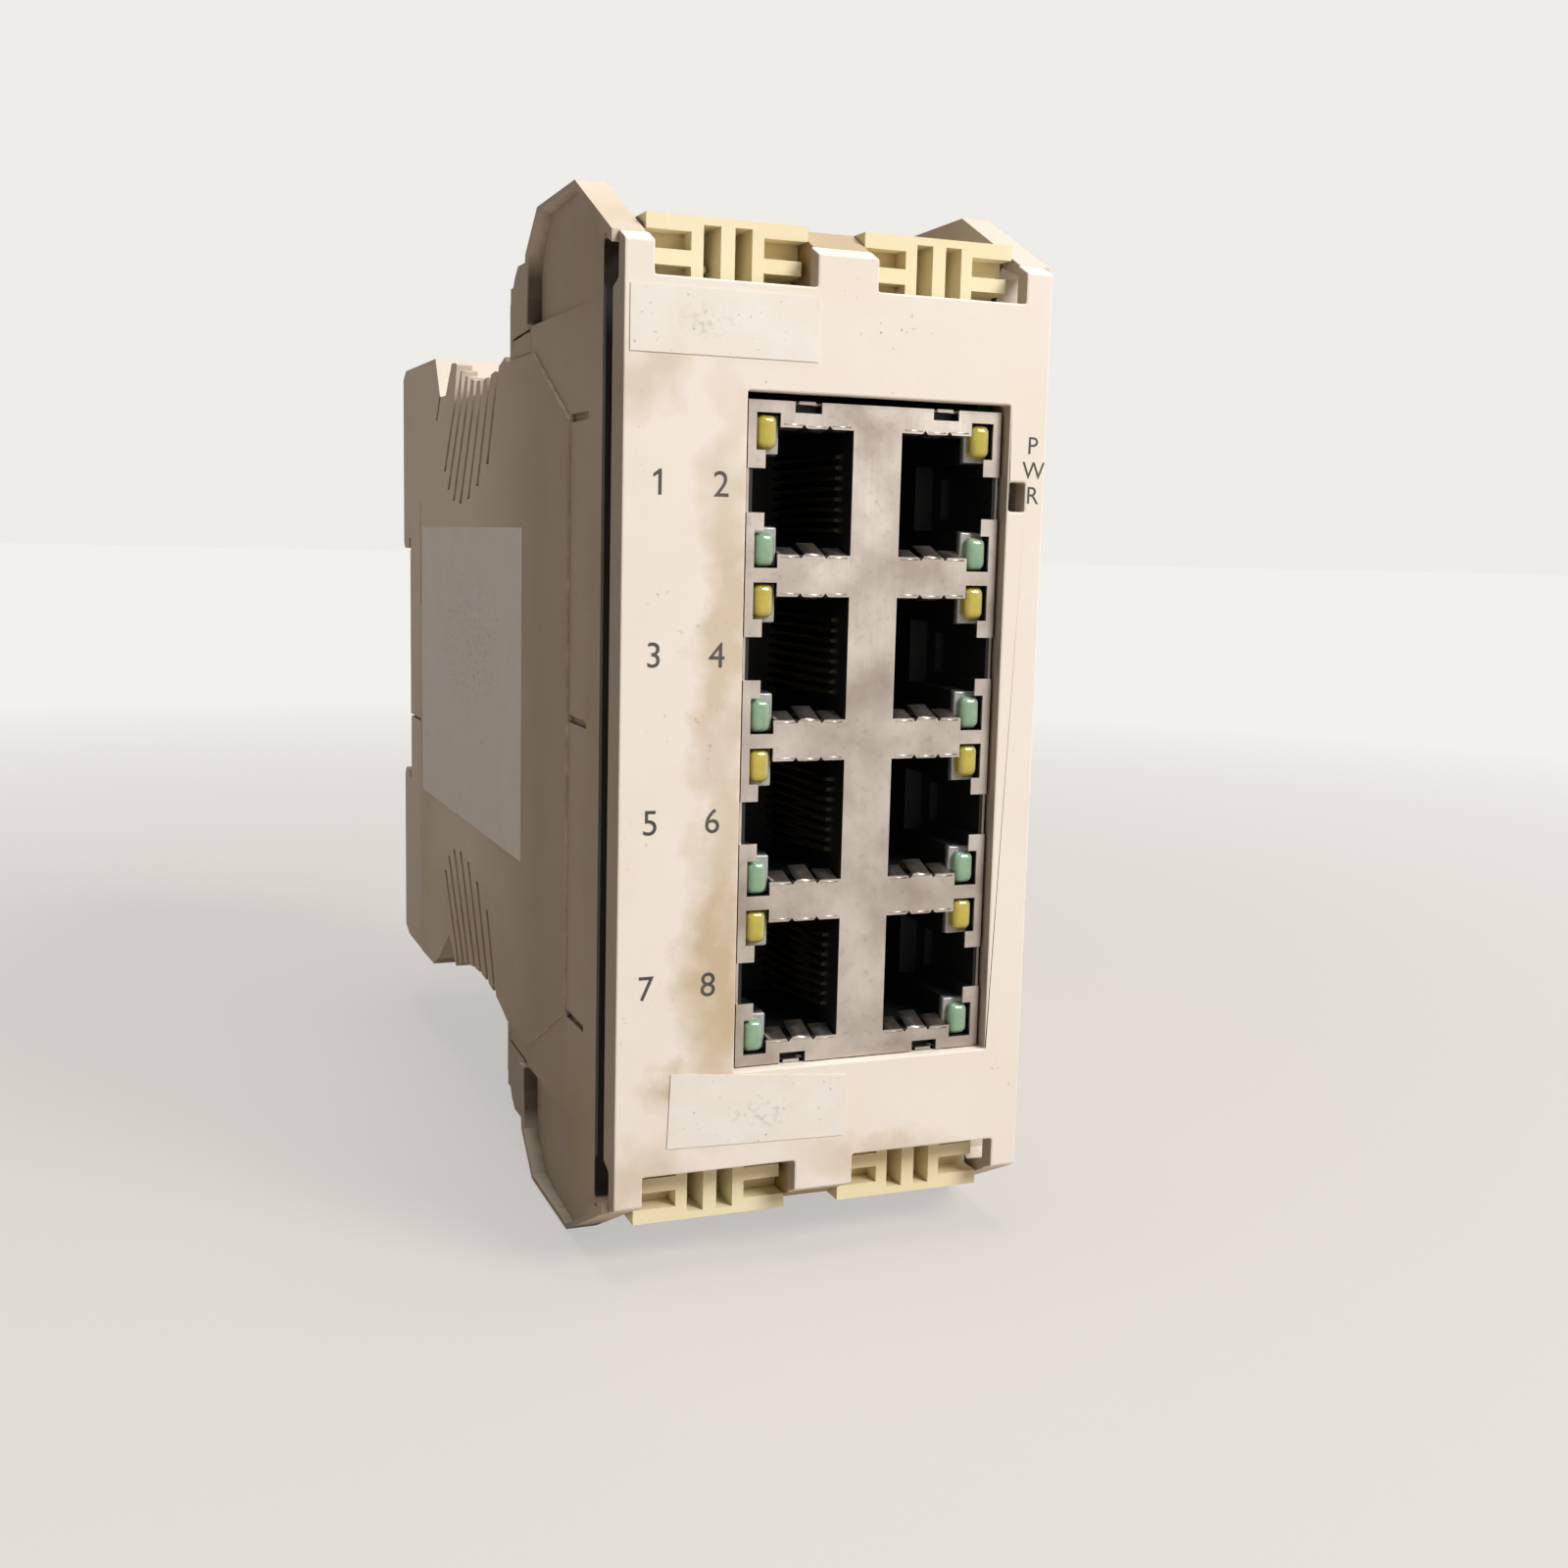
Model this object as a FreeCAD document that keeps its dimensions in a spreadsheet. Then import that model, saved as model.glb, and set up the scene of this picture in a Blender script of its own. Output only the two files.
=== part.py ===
import FreeCAD, Part
import Sketcher
import math
import os
import re

# Eight port ethernet switch for a 35 mm mounting rail.
# Frame: X across the face, Y from the face towards the rail, Z up.
# The origin is the middle of the seat that rests on the front of the rail.

SIZES = {
    # overall
    "front": -107.0,
    "module_w": 45.0,
    "shell_inset": 0.3,
    "face_inset": 0.65,
    "shell_h": 84.0,
    "wall": 2.0,
    "seam_gap": 0.3,
    # face plate
    "face_h": 90.7,
    "face_t": 2.0,
    "flange_d": 3.8,
    "flange_t": 1.6,
    "flange_h": 41.5,
    "tab_w": 6.28,
    "leg_w": 2.87,
    "notch_h": 3.0,
    "window_shift": 0.1,
    "window_gap": 0.4,
    "lamp_hole_in": 2.98,
    "lamp_hole_z": 23.7,
    "lamp_hole_w": 1.65,
    "lamp_hole_h": 2.9,
    # hood
    "hood_front": 5.8,
    "hood_t": 1.8,
    "seam_d": 18.1,
    "seam_z": 30.4,
    "shelf_z": 38.3,
    "bay_back": 16.0,
    "roof_z": 46.0,
    "roof_end": 44.5,
    "cheek_t": 3.25,
    "cheek_z": 52.75,
    "cheek_end": 34.9,
    "panel_sink": 1.05,
    "rim_t": 0.55,
    "heel_z": 41.0,
    # rail seat and hooks
    "rail_h": 35.0,
    "rail_t": 1.0,
    "rail_play": 0.3,
    "hook_over": 1.1,
    "hook_d": 5.2,
    "latch_front": 8.2,
    "latch_top": 8.2,
    # vents
    "deck_z": 36.0,
    "slot_w": 1.25,
    "slot_flare": 2.4,
    "slot_pitch": 3.85,
    "slot_first": 49.8,
    # port block
    "block_z": -0.3,
    "shield_w": 26.7,
    "shield_h": 64.4,
    "shield_front": 1.2,
    "shield_back": 26.0,
    "shield_t": 0.25,
    "port_pitch": 15.875,
    "port_h": 11.9,
    "port_in": 2.55,
    "port_out": 9.9,
    "step_out": 11.55,
    "step_h": 6.6,
    "latch_slot_h": 4.14,
    "port_deep": 20.0,
    "lamp_in": 10.15,
    "lamp_out": 12.45,
    "lamp_far": 7.2,
    "lamp_near": 3.8,
    "contact_pitch": 1.016,
    "contact_t": 0.35,
    # filler plugs
    "plug_front": 3.2,
    "plug_over": 0.11,
    "plug_inset": 0.12,
    "plug_top": 48.3,
    "plug_bottom": 38.3,
    # boards
    "board_t": 1.6,
    "board_gap": 0.1,
    "tongue_t": 0.95,
    "main_board_end": 94.0,
    "power_board_in": 2.45,
}

# Widths that follow the module's width, and places that follow the walls and boards.
DERIVED = {
    "shell_w": "=module_w - 2 * shell_inset",
    "face_w": "=module_w - 2 * face_inset",
    "block_x": "=face_w / 2 - hood_t - tongue_t - board_gap - board_t - shield_w / 2",
    "window_x": "=block_x - window_shift",
    "window_w": "=shield_w + 2 * window_gap",
    "window_h": "=shield_h + 2 * window_gap",
    "lamp_hole_x": "=face_w / 2 - lamp_hole_in",
    "plug_w": "=face_w / 2 - leg_w - tab_w / 2 + plug_over",
    "power_board_x": "=hood_t + power_board_in - face_w / 2",
}
NAMED = {**SIZES, **DERIVED}

doc = FreeCAD.newDocument("rail_switch")
sheet = doc.addObject("Spreadsheet::Sheet", "dims")
for row, (alias, value) in enumerate(NAMED.items(), start=1):
    sheet.set("A%d" % row, alias)
    sheet.set("B%d" % row, str(value))
    sheet.setAlias("B%d" % row, alias)
doc.recompute()

ORIGIN_ROLES = {"x": "YZ_Plane", "y": "XZ_Plane", "z": "XY_Plane"}


def bound(text):
    """The same formula with every size name read from the spreadsheet."""
    return re.sub(r"[a-z]\w*", lambda m: "dims." + m.group(0) if m.group(0) in NAMED else m.group(0), str(text))


def deep(depth):
    """Y position at a depth behind the front of the face plate."""
    return "front + (%s)" % depth


def rect(low_u, high_u, low_v, high_v):
    """Corners of a rectangle."""
    return [(low_u, low_v), (high_u, low_v), (high_u, high_v), (low_u, high_v)]


def side(points, flip=1):
    """Side profile corners from (depth, height) pairs; flip -1 turns the profile upside down."""
    return [(deep(depth), "(%s) * %d" % (height, flip)) for depth, height in points]


def both_ways(points):
    """A side profile that is the same above and below the middle, from its upper half."""
    return side(points) + side(list(reversed(points)), -1)


class Piece:
    """One moulded, stamped or sawn piece, built up in a body of its own."""

    def __init__(self, name):
        self.name = name
        self.count = 0
        self.body = doc.addObject("PartDesign::Body", name)
        self.body.Label = name
        self.body.AllowCompound = True

    def sketch(self, axis, offset):
        """A sketch square to an axis, at an offset along the plane's normal."""
        self.count += 1
        sketch = self.body.newObject("Sketcher::SketchObject", "%s_sketch_%d" % (self.name, self.count))
        role = ORIGIN_ROLES[axis]
        plane = [item for item in self.body.Origin.OriginFeatures if item.Role == role][0]
        sketch.AttachmentSupport = [(plane, "")]
        sketch.MapMode = "FlatFace"
        sketch.setExpression("AttachmentOffset.Base.z", bound(offset))
        return sketch

    def draw(self, sketch, corners):
        """A closed outline with every corner bound to the spreadsheet."""
        first = sketch.GeometryCount
        total = len(corners)
        ring = [2 * math.pi * index / total for index in range(total)]
        start = [FreeCAD.Vector(10 * math.cos(angle), 10 * math.sin(angle), 0) for angle in ring]
        for index in range(total):
            sketch.addGeometry(Part.LineSegment(start[index], start[(index + 1) % total]), False)
        rules = []
        formulas = []
        for index, corner in enumerate(corners):
            after = first + (index + 1) % total
            rules.append(Sketcher.Constraint("Coincident", first + index, 2, after, 1))
            for kind, formula in zip(("DistanceX", "DistanceY"), corner):
                formulas.append((sketch.ConstraintCount + len(rules), bound(formula)))
                rules.append(Sketcher.Constraint(kind, -1, 1, first + index, 1, 1.0))
        sketch.addConstraint(rules)
        for number, formula in formulas:
            sketch.setExpression("Constraints[%d]" % number, formula)

    def draw_circle(self, sketch, centre, radius):
        """A circle with its centre and radius bound to the spreadsheet."""
        ring = sketch.addGeometry(Part.Circle(FreeCAD.Vector(1, 1, 0), FreeCAD.Vector(0, 0, 1), 1.0), False)
        for kind, formula in zip(("DistanceX", "DistanceY"), centre):
            number = sketch.addConstraint(Sketcher.Constraint(kind, -1, 1, ring, 3, 1.0))
            sketch.setExpression("Constraints[%d]" % number, bound(formula))
        number = sketch.addConstraint(Sketcher.Constraint("Radius", ring, 1.0))
        sketch.setExpression("Constraints[%d]" % number, bound(radius))

    def finish(self, feature_type, sketch, length):
        """A pad or pocket of the sketch."""
        label = "%s_%s_%d" % (self.name, feature_type.split("::")[1].lower(), self.count)
        feature = self.body.newObject(feature_type, label)
        feature.Profile = sketch
        feature.setExpression("Length", bound(length))
        sketch.Visibility = False
        self.body.Tip = feature
        return feature

    def add(self, axis, low, high, *outlines):
        """Material between two positions along an axis, inside the outlines."""
        sketch = self.sketch(axis, "-(%s)" % high if axis == "y" else low)
        for corners in outlines:
            self.draw(sketch, corners)
        return self.finish("PartDesign::Pad", sketch, "(%s) - (%s)" % (high, low))

    def cut(self, axis, low, high, *outlines):
        """Material removed between two positions along an axis, inside the outlines."""
        sketch = self.sketch(axis, "-(%s)" % low if axis == "y" else high)
        for corners in outlines:
            self.draw(sketch, corners)
        return self.finish("PartDesign::Pocket", sketch, "(%s) - (%s)" % (high, low))

    def repeat(self, feature, direction, length, count):
        """The feature repeated along a direction of its own sketch."""
        pattern = self.body.newObject("PartDesign::LinearPattern", "%s_row_%d" % (self.name, self.count))
        pattern.Originals = [feature]
        pattern.Direction = (feature.Profile[0], [direction])
        pattern.setExpression("Length", bound(length))
        pattern.Occurrences = count
        self.body.Tip = pattern
        return pattern

    def add_round(self, axis, low, high, centre, radius):
        """A round post or pin along an axis."""
        sketch = self.sketch(axis, "-(%s)" % high if axis == "y" else low)
        self.draw_circle(sketch, centre, radius)
        return self.finish("PartDesign::Pad", sketch, "(%s) - (%s)" % (high, low))

    def cut_round(self, axis, low, high, centre, radius):
        """A round hole along an axis."""
        sketch = self.sketch(axis, "-(%s)" % low if axis == "y" else high)
        self.draw_circle(sketch, centre, radius)
        return self.finish("PartDesign::Pocket", sketch, "(%s) - (%s)" % (high, low))

    def edges(self, rule):
        """Names of the edges of the finished shape whose bounding box meets a rule."""
        doc.recompute()
        found = self.body.Tip.Shape.Edges
        return ["Edge%d" % (index + 1) for index, edge in enumerate(found) if rule(edge.BoundBox)]

    def dress(self, feature_type, size_name, size, rule):
        """A fillet or chamfer on the edges that meet a rule."""
        base = self.body.Tip
        names = self.edges(rule)
        if not names:
            raise RuntimeError("no edge to dress on " + self.name)
        feature = self.body.newObject(feature_type, "%s_%s" % (self.name, feature_type.split("::")[1].lower()))
        feature.Base = (base, names)
        feature.setExpression(size_name, bound(size))
        self.body.Tip = feature

    def fillet(self, size, rule):
        self.dress("PartDesign::Fillet", "Radius", size, rule)

    def chamfer(self, size, rule):
        self.dress("PartDesign::Chamfer", "Size", size, rule)


def across(half_width, inner_half="0"):
    """Left and right X ranges between two distances from the middle."""
    return [("-(%s)" % half_width, "-(%s)" % inner_half), (inner_half, half_width)]


pieces = []


def piece(name):
    made = Piece(name)
    pieces.append(made)
    return made


# ---------------------------------------------------------------- face plate
NOTCH_IN = "tab_w / 2"
NOTCH_OUT = "face_w / 2 - leg_w"
PLATE_TOP = "face_h / 2"
NOTCH_Z = "face_h / 2 - notch_h"

plate = piece("front_plate")
upper_edge = [
    ("face_w / 2", PLATE_TOP), (NOTCH_OUT, PLATE_TOP), (NOTCH_OUT, NOTCH_Z), (NOTCH_IN, NOTCH_Z), (NOTCH_IN, PLATE_TOP),
]
mirrored_edge = [("-(%s)" % x, z) for x, z in reversed(upper_edge)]
lower_edge = [(x, "-(%s)" % z) for x, z in reversed(upper_edge + mirrored_edge)]
plate.add("y", "front", deep("face_t"), upper_edge + mirrored_edge + lower_edge)
flange = [(0, PLATE_TOP), (1.3, PLATE_TOP), (1.3, "flange_h + 0.9"), ("flange_d", "flange_h")]
for low, high in across("face_w / 2", "face_w / 2 - flange_t"):
    plate.add("x", low, high, both_ways(flange))
for low, high in across("face_w / 2", NOTCH_OUT) + [("-(%s)" % NOTCH_IN, NOTCH_IN)]:
    for flip in (1, -1):
        slope = [(0, PLATE_TOP), ("face_t", "face_h / 2 + 0.95"), ("face_t", "face_h / 2 - 0.1"), (0, "face_h / 2 - 0.1")]
        plate.add("x", low, high, side(slope, flip))
plate.cut(
    "y", "front", deep("flange_d"),
    rect("window_x - window_w / 2", "window_x + window_w / 2", "-window_h / 2", "window_h / 2"),
)
plate.cut(
    "y", "front", deep("flange_d"),
    rect("lamp_hole_x - lamp_hole_w / 2", "lamp_hole_x + lamp_hole_w / 2",
         "lamp_hole_z - lamp_hole_h / 2", "lamp_hole_z + lamp_hole_h / 2"),
)

# ---------------------------------------------------------------------- hood
HOOD_HALF = "face_w / 2"
HOOD_IN = "face_w / 2 - hood_t"
CHEEK_IN = "module_w / 2 - cheek_t"
TERMINAL_LOW = "power_board_x + board_t"
TERMINAL_HIGH = "power_board_x + board_t + 8.4"
REAR_SHELF = "shell_h / 2 - 4"
SEAM_END = "cheek_end - 1.9"

hood = piece("front_hood")
hood.add("x", "-(%s)" % HOOD_HALF, HOOD_HALF, both_ways([
    ("hood_front", "shelf_z"), ("bay_back", "shelf_z"), ("bay_back", "roof_z"), ("roof_end", "roof_z"),
    ("roof_end", REAR_SHELF), (SEAM_END, REAR_SHELF), ("seam_d", "seam_z"),
]))
cheek = [
    ("face_t", "cheek_z - 6.45"), (15, "cheek_z"), ("cheek_end - 5", "cheek_z - 0.2"), ("cheek_end", "cheek_z - 4.3"),
    ("cheek_end", "shelf_z"), ("hood_front", "shelf_z"), ("hood_front", 41.5), ("hood_front + 0.8", 42.3),
    ("hood_front + 0.8", 45.6), ("hood_front", "cheek_z - 6.2"), ("face_t", "cheek_z - 7.6"),
]
for low, high in across(HOOD_HALF, CHEEK_IN):
    for flip in (1, -1):
        hood.add("x", low, high, side(cheek, flip))
sunk_panel = [
    ("face_w / 2", 10), ("face_w / 2 - panel_sink", "cheek_end"), ("face_w / 2 + 1", "cheek_end"), ("face_w / 2 + 1", 10),
]
sunk_panels = [[("(%s) * %d" % (x, turn), deep(depth)) for x, depth in sunk_panel] for turn in (1, -1)]
hood.cut("z", "heel_z", "cheek_z + 1", *sunk_panels)
hood.cut("z", "-cheek_z - 1", "-heel_z", *sunk_panels)
hood.cut("x", "-(%s)" % HOOD_IN, HOOD_IN, both_ways([
    ("hood_front - 1", "shelf_z - hood_t"), ("bay_back + hood_t", "shelf_z - hood_t"),
    ("bay_back + hood_t", "roof_z - hood_t"), ("roof_end - hood_t", "roof_z - hood_t"),
]))
rim = [
    ("face_t", "cheek_z - 6.45"), (15, "cheek_z"), ("cheek_end - 5", "cheek_z - 0.2"),
    ("cheek_end + 0.1", "cheek_z - 4.3"), ("cheek_end + 1", "heel_z + 3"), ("cheek_end + 1.2", "heel_z - 0.1"),
    ("cheek_end - 0.2", "heel_z - 0.1"), ("cheek_end - 0.3", "heel_z + 2.8"), ("cheek_end - 0.7", "cheek_z - 4.6"),
    ("cheek_end - 5.3", "cheek_z - 0.2 - rim_t"), (15.2, "cheek_z - rim_t"), (8.5, "cheek_z - 3.3 - rim_t"),
    ("hood_front", "cheek_z - 6.2"), ("face_t", "cheek_z - 7.6"),
]
heel = [
    ("cheek_end", "shelf_z"), ("cheek_end", 48), ("roof_end - 3.6", 48), ("roof_end - 2.2", 47), ("roof_end", 44.2),
    ("roof_end", "shelf_z"),
]
divider = [
    ("face_t", "shelf_z - 0.1"), ("face_t", "face_h / 2 + 0.95"), (5.9, "plug_top"), ("bay_back + 0.1", "plug_top"),
    ("bay_back + 0.1", "shelf_z - 0.1"),
]
heel_crease = [
    ("cheek_end + 0.2", "heel_z - 0.2"), ("roof_end - 1.2", "heel_z - 0.6"), ("roof_end - 1.2", "heel_z - 1.8"),
    ("roof_end - 1.5", "heel_z - 1.8"), ("roof_end - 1.5", "heel_z - 0.9"), ("cheek_end + 0.2", "heel_z - 0.5"),
]
for flip in (1, -1):
    for low, high in across("module_w / 2", CHEEK_IN):
        hood.add("x", low, high, side(rim, flip))
    for low, high in across("face_w / 2 + 0.05", CHEEK_IN):
        hood.add("x", low, high, side(heel, flip))
    hood.add("x", "-(%s) + 0.25" % NOTCH_IN, "%s - 0.25" % NOTCH_IN, side(divider, flip))
for low, high in across(HOOD_IN, "%s - tongue_t" % HOOD_IN):
    hood.add("x", low, high, both_ways([("face_t", 34), ("hood_front + 3.2", 34)]))
    hood.add("x", low, high, both_ways([("seam_d - 5", 26), ("seam_d + 6", 26)]))
for low, high in across("face_w / 2 + 1", "face_w / 2 - 0.5"):
    creases = [side([(11.5, z), ("seam_d", z), ("seam_d", z + 0.8), (11.5, z + 0.8)]) for z in (30.0, 0.0, -30.8)]
    hood.cut("x", low, high, *creases)
    hood.cut("x", low, high, side(heel_crease), side(heel_crease, -1))
hood.cut(
    "z", "roof_z - 3", "roof_z + 1",
    [(TERMINAL_LOW + " - 0.3", deep(18.3)), (TERMINAL_HIGH + " + 0.3", deep(18.3)),
     (TERMINAL_HIGH + " + 0.3", deep(39.5)), (TERMINAL_LOW + " - 0.3", deep(39.5))],
)
hood.cut(
    "y", deep("face_t"), deep("hood_front + 4"),
    rect("lamp_hole_x - 1", "%s - 0.3" % HOOD_IN, "lamp_hole_z - 2", "lamp_hole_z + 2"),
)

# -------------------------------------------------------------- rear housing
SHELL_HALF = "shell_w / 2"
SHELL_IN = "shell_w / 2 - wall"
BODY_Z = "shell_h / 2"
SEAT = "-front"
REAR = "-front + hook_d"
LIP_FRONT = "-front + rail_t + rail_play"
HOOK_TIP = "rail_h / 2 - hook_over"
RAIL_EDGE = "rail_h / 2 + rail_play"
RELIEF = "-front - 0.4"

vent_edge = [
    (48.2, "shell_h / 2 - 3.2"), (76.2, "shell_h / 2 - 1.6"), (80.3, "deck_z + 0.6"), (84, "deck_z + 0.6"),
    (87.2, "shell_h / 2 - 0.1"),
]
low_vent_edge = [
    (48.2, "shell_h / 2 - 3.2"), (73.6, "shell_h / 2 - 3.4"), (78.2, "deck_z - 0.8"), (86.4, "shell_h / 2 - 1.5"),
    (89.5, "shell_h / 2 - 0.1"),
]
front_edge = [
    ("seam_d", "seam_z"), (SEAM_END, REAR_SHELF), ("roof_end + 0.6", REAR_SHELF), ("roof_end + 1.4", "shell_h / 2 - 3.2"),
]
rail_hook = [
    (110, BODY_Z), (REAR, "shell_h / 2 - 1.2"), (REAR, "%s + 0.8" % HOOK_TIP), ("%s - 0.8" % REAR, HOOK_TIP),
    (LIP_FRONT, HOOK_TIP), (LIP_FRONT, RAIL_EDGE), (RELIEF, RAIL_EDGE), (RELIEF, "%s - 0.4" % HOOK_TIP),
    (SEAT, "%s - 0.4" % HOOK_TIP),
]
latch_bay = [
    (SEAT, "-latch_top + seam_gap"), ("-front - latch_front", "-latch_top + seam_gap"),
    ("-front - latch_front", "-shell_h / 2"),
]
shell = piece("rear_housing")
shell.add(
    "x", "-(%s)" % SHELL_HALF, SHELL_HALF,
    side(front_edge + vent_edge + rail_hook + latch_bay) + side(list(reversed(front_edge + low_vent_edge)), -1),
)
inner_front = [(17, REAR_SHELF + " - 2.1"), ("roof_end + 1", REAR_SHELF + " - 2.1"), ("roof_end + 1", "deck_z - 1.8"), (86, "deck_z - 1.8"),
               (89.3, "shell_h / 2 - wall")]
inner_hook = [
    ("%s - 1.8" % REAR, "shell_h / 2 - wall"), ("%s - 1.8" % REAR, "%s + 1.8" % RAIL_EDGE),
    ("%s - 1.8" % SEAT, "%s + 1.8" % RAIL_EDGE), ("%s - 1.8" % SEAT, "-latch_top + seam_gap + 1.8"),
    ("-front - latch_front - 1.8", "-latch_top + seam_gap + 1.8"), ("-front - latch_front - 1.8", "-shell_h / 2 + wall"),
]
shell.cut(
    "x", "-(%s)" % SHELL_IN, SHELL_IN,
    side(inner_front + inner_hook) + side(list(reversed(inner_front)), -1),
)
deck = [("roof_end + 3.1", "deck_z"), ("roof_end + 3.1", 44), (84.5, 44), (84.5, "deck_z")]
shell.cut("x", "-(%s)" % SHELL_IN, SHELL_IN, side(deck), side(deck, -1))
shell.cut_round("x", "-(%s) - 1" % SHELL_HALF, "%s + 1" % SHELL_HALF, (deep(57.5), 79), 42)
shell.cut_round("x", "-(%s) - 1" % SHELL_HALF, "%s + 1" % SHELL_HALF, (deep(58), -82.8), 47)
slots = []
for index in range(7):
    top = "slot_first + slot_pitch * %d" % index
    low_z = "22.5 + 0.033 * (%s - 61.5)^2" % top
    lean = 0.5 + 0.05 * index
    high_d = "%s - %s * 5" % (top, lean)
    low_d = "%s + %s * (deck_z - (%s))" % (top, lean, low_z)
    slot = [
        (high_d, "deck_z + 5"), (high_d + " + slot_w + slot_flare", "deck_z + 5"),
        ("%s + %s * 5.5 + slot_w" % (high_d, lean), "deck_z - 0.5"), (low_d + " + slot_w", low_z), (low_d, low_z),
    ]
    slots += [side(slot), side(slot, -1)]
for low, high in across("%s + 1" % SHELL_HALF, SHELL_IN):
    shell.cut("x", low, high, *slots)
snick = [(83.5, "deck_z + 0.7"), (84.7, "deck_z + 0.7"), (86.9, "deck_z - 2.2"), (86.2, "deck_z - 2.4")]
slit = [(98.5, 8.5), (98.5, 23), (98.9, 23), (98.9, 8.5)]
for low, high in across("%s + 1" % SHELL_HALF, "%s - 0.7" % SHELL_HALF):
    shell.cut("x", low, high, side(snick), side(slit))
shell.cut(
    "z", "%s - 3" % REAR_SHELF, "%s + 1" % REAR_SHELF,
    [(TERMINAL_LOW + " - 0.2", deep(24)), (TERMINAL_HIGH + " + 0.5", deep(24)),
     (TERMINAL_HIGH + " + 0.5", deep(40)), (TERMINAL_LOW + " - 0.2", deep(40))],
)
# guides for the two boards, under the top deck and over the bottom deck
MAIN_OUT = "block_x + shield_w / 2 + board_t"
for low, high in (
    (MAIN_OUT, "%s + 0.1" % SHELL_IN), ("block_x + shield_w / 2 - 1.2", "block_x + shield_w / 2"),
    ("-(%s) - 0.1" % SHELL_IN, "power_board_x"), ("power_board_x + board_t", "power_board_x + board_t + 1.2"),
):
    guide = [(50, "deck_z - 3.6"), (85, "deck_z - 3.6"), (85, "deck_z - 1.7"), (50, "deck_z - 1.7")]
    shell.add("x", low, high, side(guide), side(guide, -1))
# guide rails and spring ledge for the latch
BAY = "-front - latch_front"
for turn in (1, -1):
    neck = [("%d * 8.5" % turn, deep("%s - 0.1" % BAY)), ("%d * 11.5" % turn, deep("%s - 0.1" % BAY)),
            ("%d * 11.5" % turn, deep("%s + 2.6" % BAY)), ("%d * 8.5" % turn, deep("%s + 2.6" % BAY))]
    head = [("%d * 7" % turn, deep("%s + 2.5" % BAY)), ("%d * 13" % turn, deep("%s + 2.5" % BAY)),
            ("%d * 13" % turn, deep("%s + 4.2" % BAY)), ("%d * 7" % turn, deep("%s + 4.2" % BAY))]
    shell.add("z", -37, -13, neck)
    shell.add("z", -37, -13, head)
shell.add("x", -2.8, 2.8, side([("%s - 0.1" % BAY, -32), ("%s - 0.1" % BAY, -30), ("%s + 5.4" % BAY, -30), ("%s + 5.4" % BAY, -32)]))

# --------------------------------------------------------------- rail latch
latch = piece("rail_latch")
LATCH_FACE = "-front - latch_front + seam_gap"
latch.add("x", "-(%s)" % SHELL_HALF, SHELL_HALF, side([
    (LATCH_FACE, "-latch_top"), ("-front - 0.3", "-latch_top"), ("-front - 0.3", "-(%s)" % RAIL_EDGE),
    (LIP_FRONT, "-(%s)" % RAIL_EDGE), (LIP_FRONT, "-(%s)" % HOOK_TIP), ("%s - 1" % REAR, "-(%s)" % HOOK_TIP),
    (REAR, "-(%s) - 1" % HOOK_TIP), (REAR, "-shell_h / 2 + 1.2"), (108.5, "-shell_h / 2"), (LATCH_FACE, "-shell_h / 2"),
]))
for turn in (1, -1):
    neck = [("%d * 8.2" % turn, deep("%s - 1" % LATCH_FACE)), ("%d * 11.8" % turn, deep("%s - 1" % LATCH_FACE)),
            ("%d * 11.8" % turn, deep("%s + 2.3" % BAY)), ("%d * 8.2" % turn, deep("%s + 2.3" % BAY))]
    head = [("%d * 6.7" % turn, deep("%s + 2.2" % BAY)), ("%d * 13.3" % turn, deep("%s + 2.2" % BAY)),
            ("%d * 13.3" % turn, deep("%s + 4.5" % BAY)), ("%d * 6.7" % turn, deep("%s + 4.5" % BAY))]
    latch.cut("z", -43, -7, neck)
    latch.cut("z", -43, -7, head)
    hollow = [("%d * 15" % turn, deep("%s - 1" % LATCH_FACE)), ("%d * 20.2" % turn, deep("%s - 1" % LATCH_FACE)),
              ("%d * 20.2" % turn, deep("%s - 2" % REAR)), ("%d * 15" % turn, deep("%s - 2" % REAR))]
    latch.cut("z", "-shell_h / 2 + 2", "-(%s) - 2" % RAIL_EDGE, hollow)
latch.cut("x", -3.2, 3.2, side([(98, -32.4), (98, -18), ("%s + 6" % BAY, -18), ("%s + 6" % BAY, -32.4)]))
latch.cut("y", deep("%s - 7" % REAR), deep("%s - 3.5" % REAR), rect(-3, 3, -43, -37))

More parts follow.
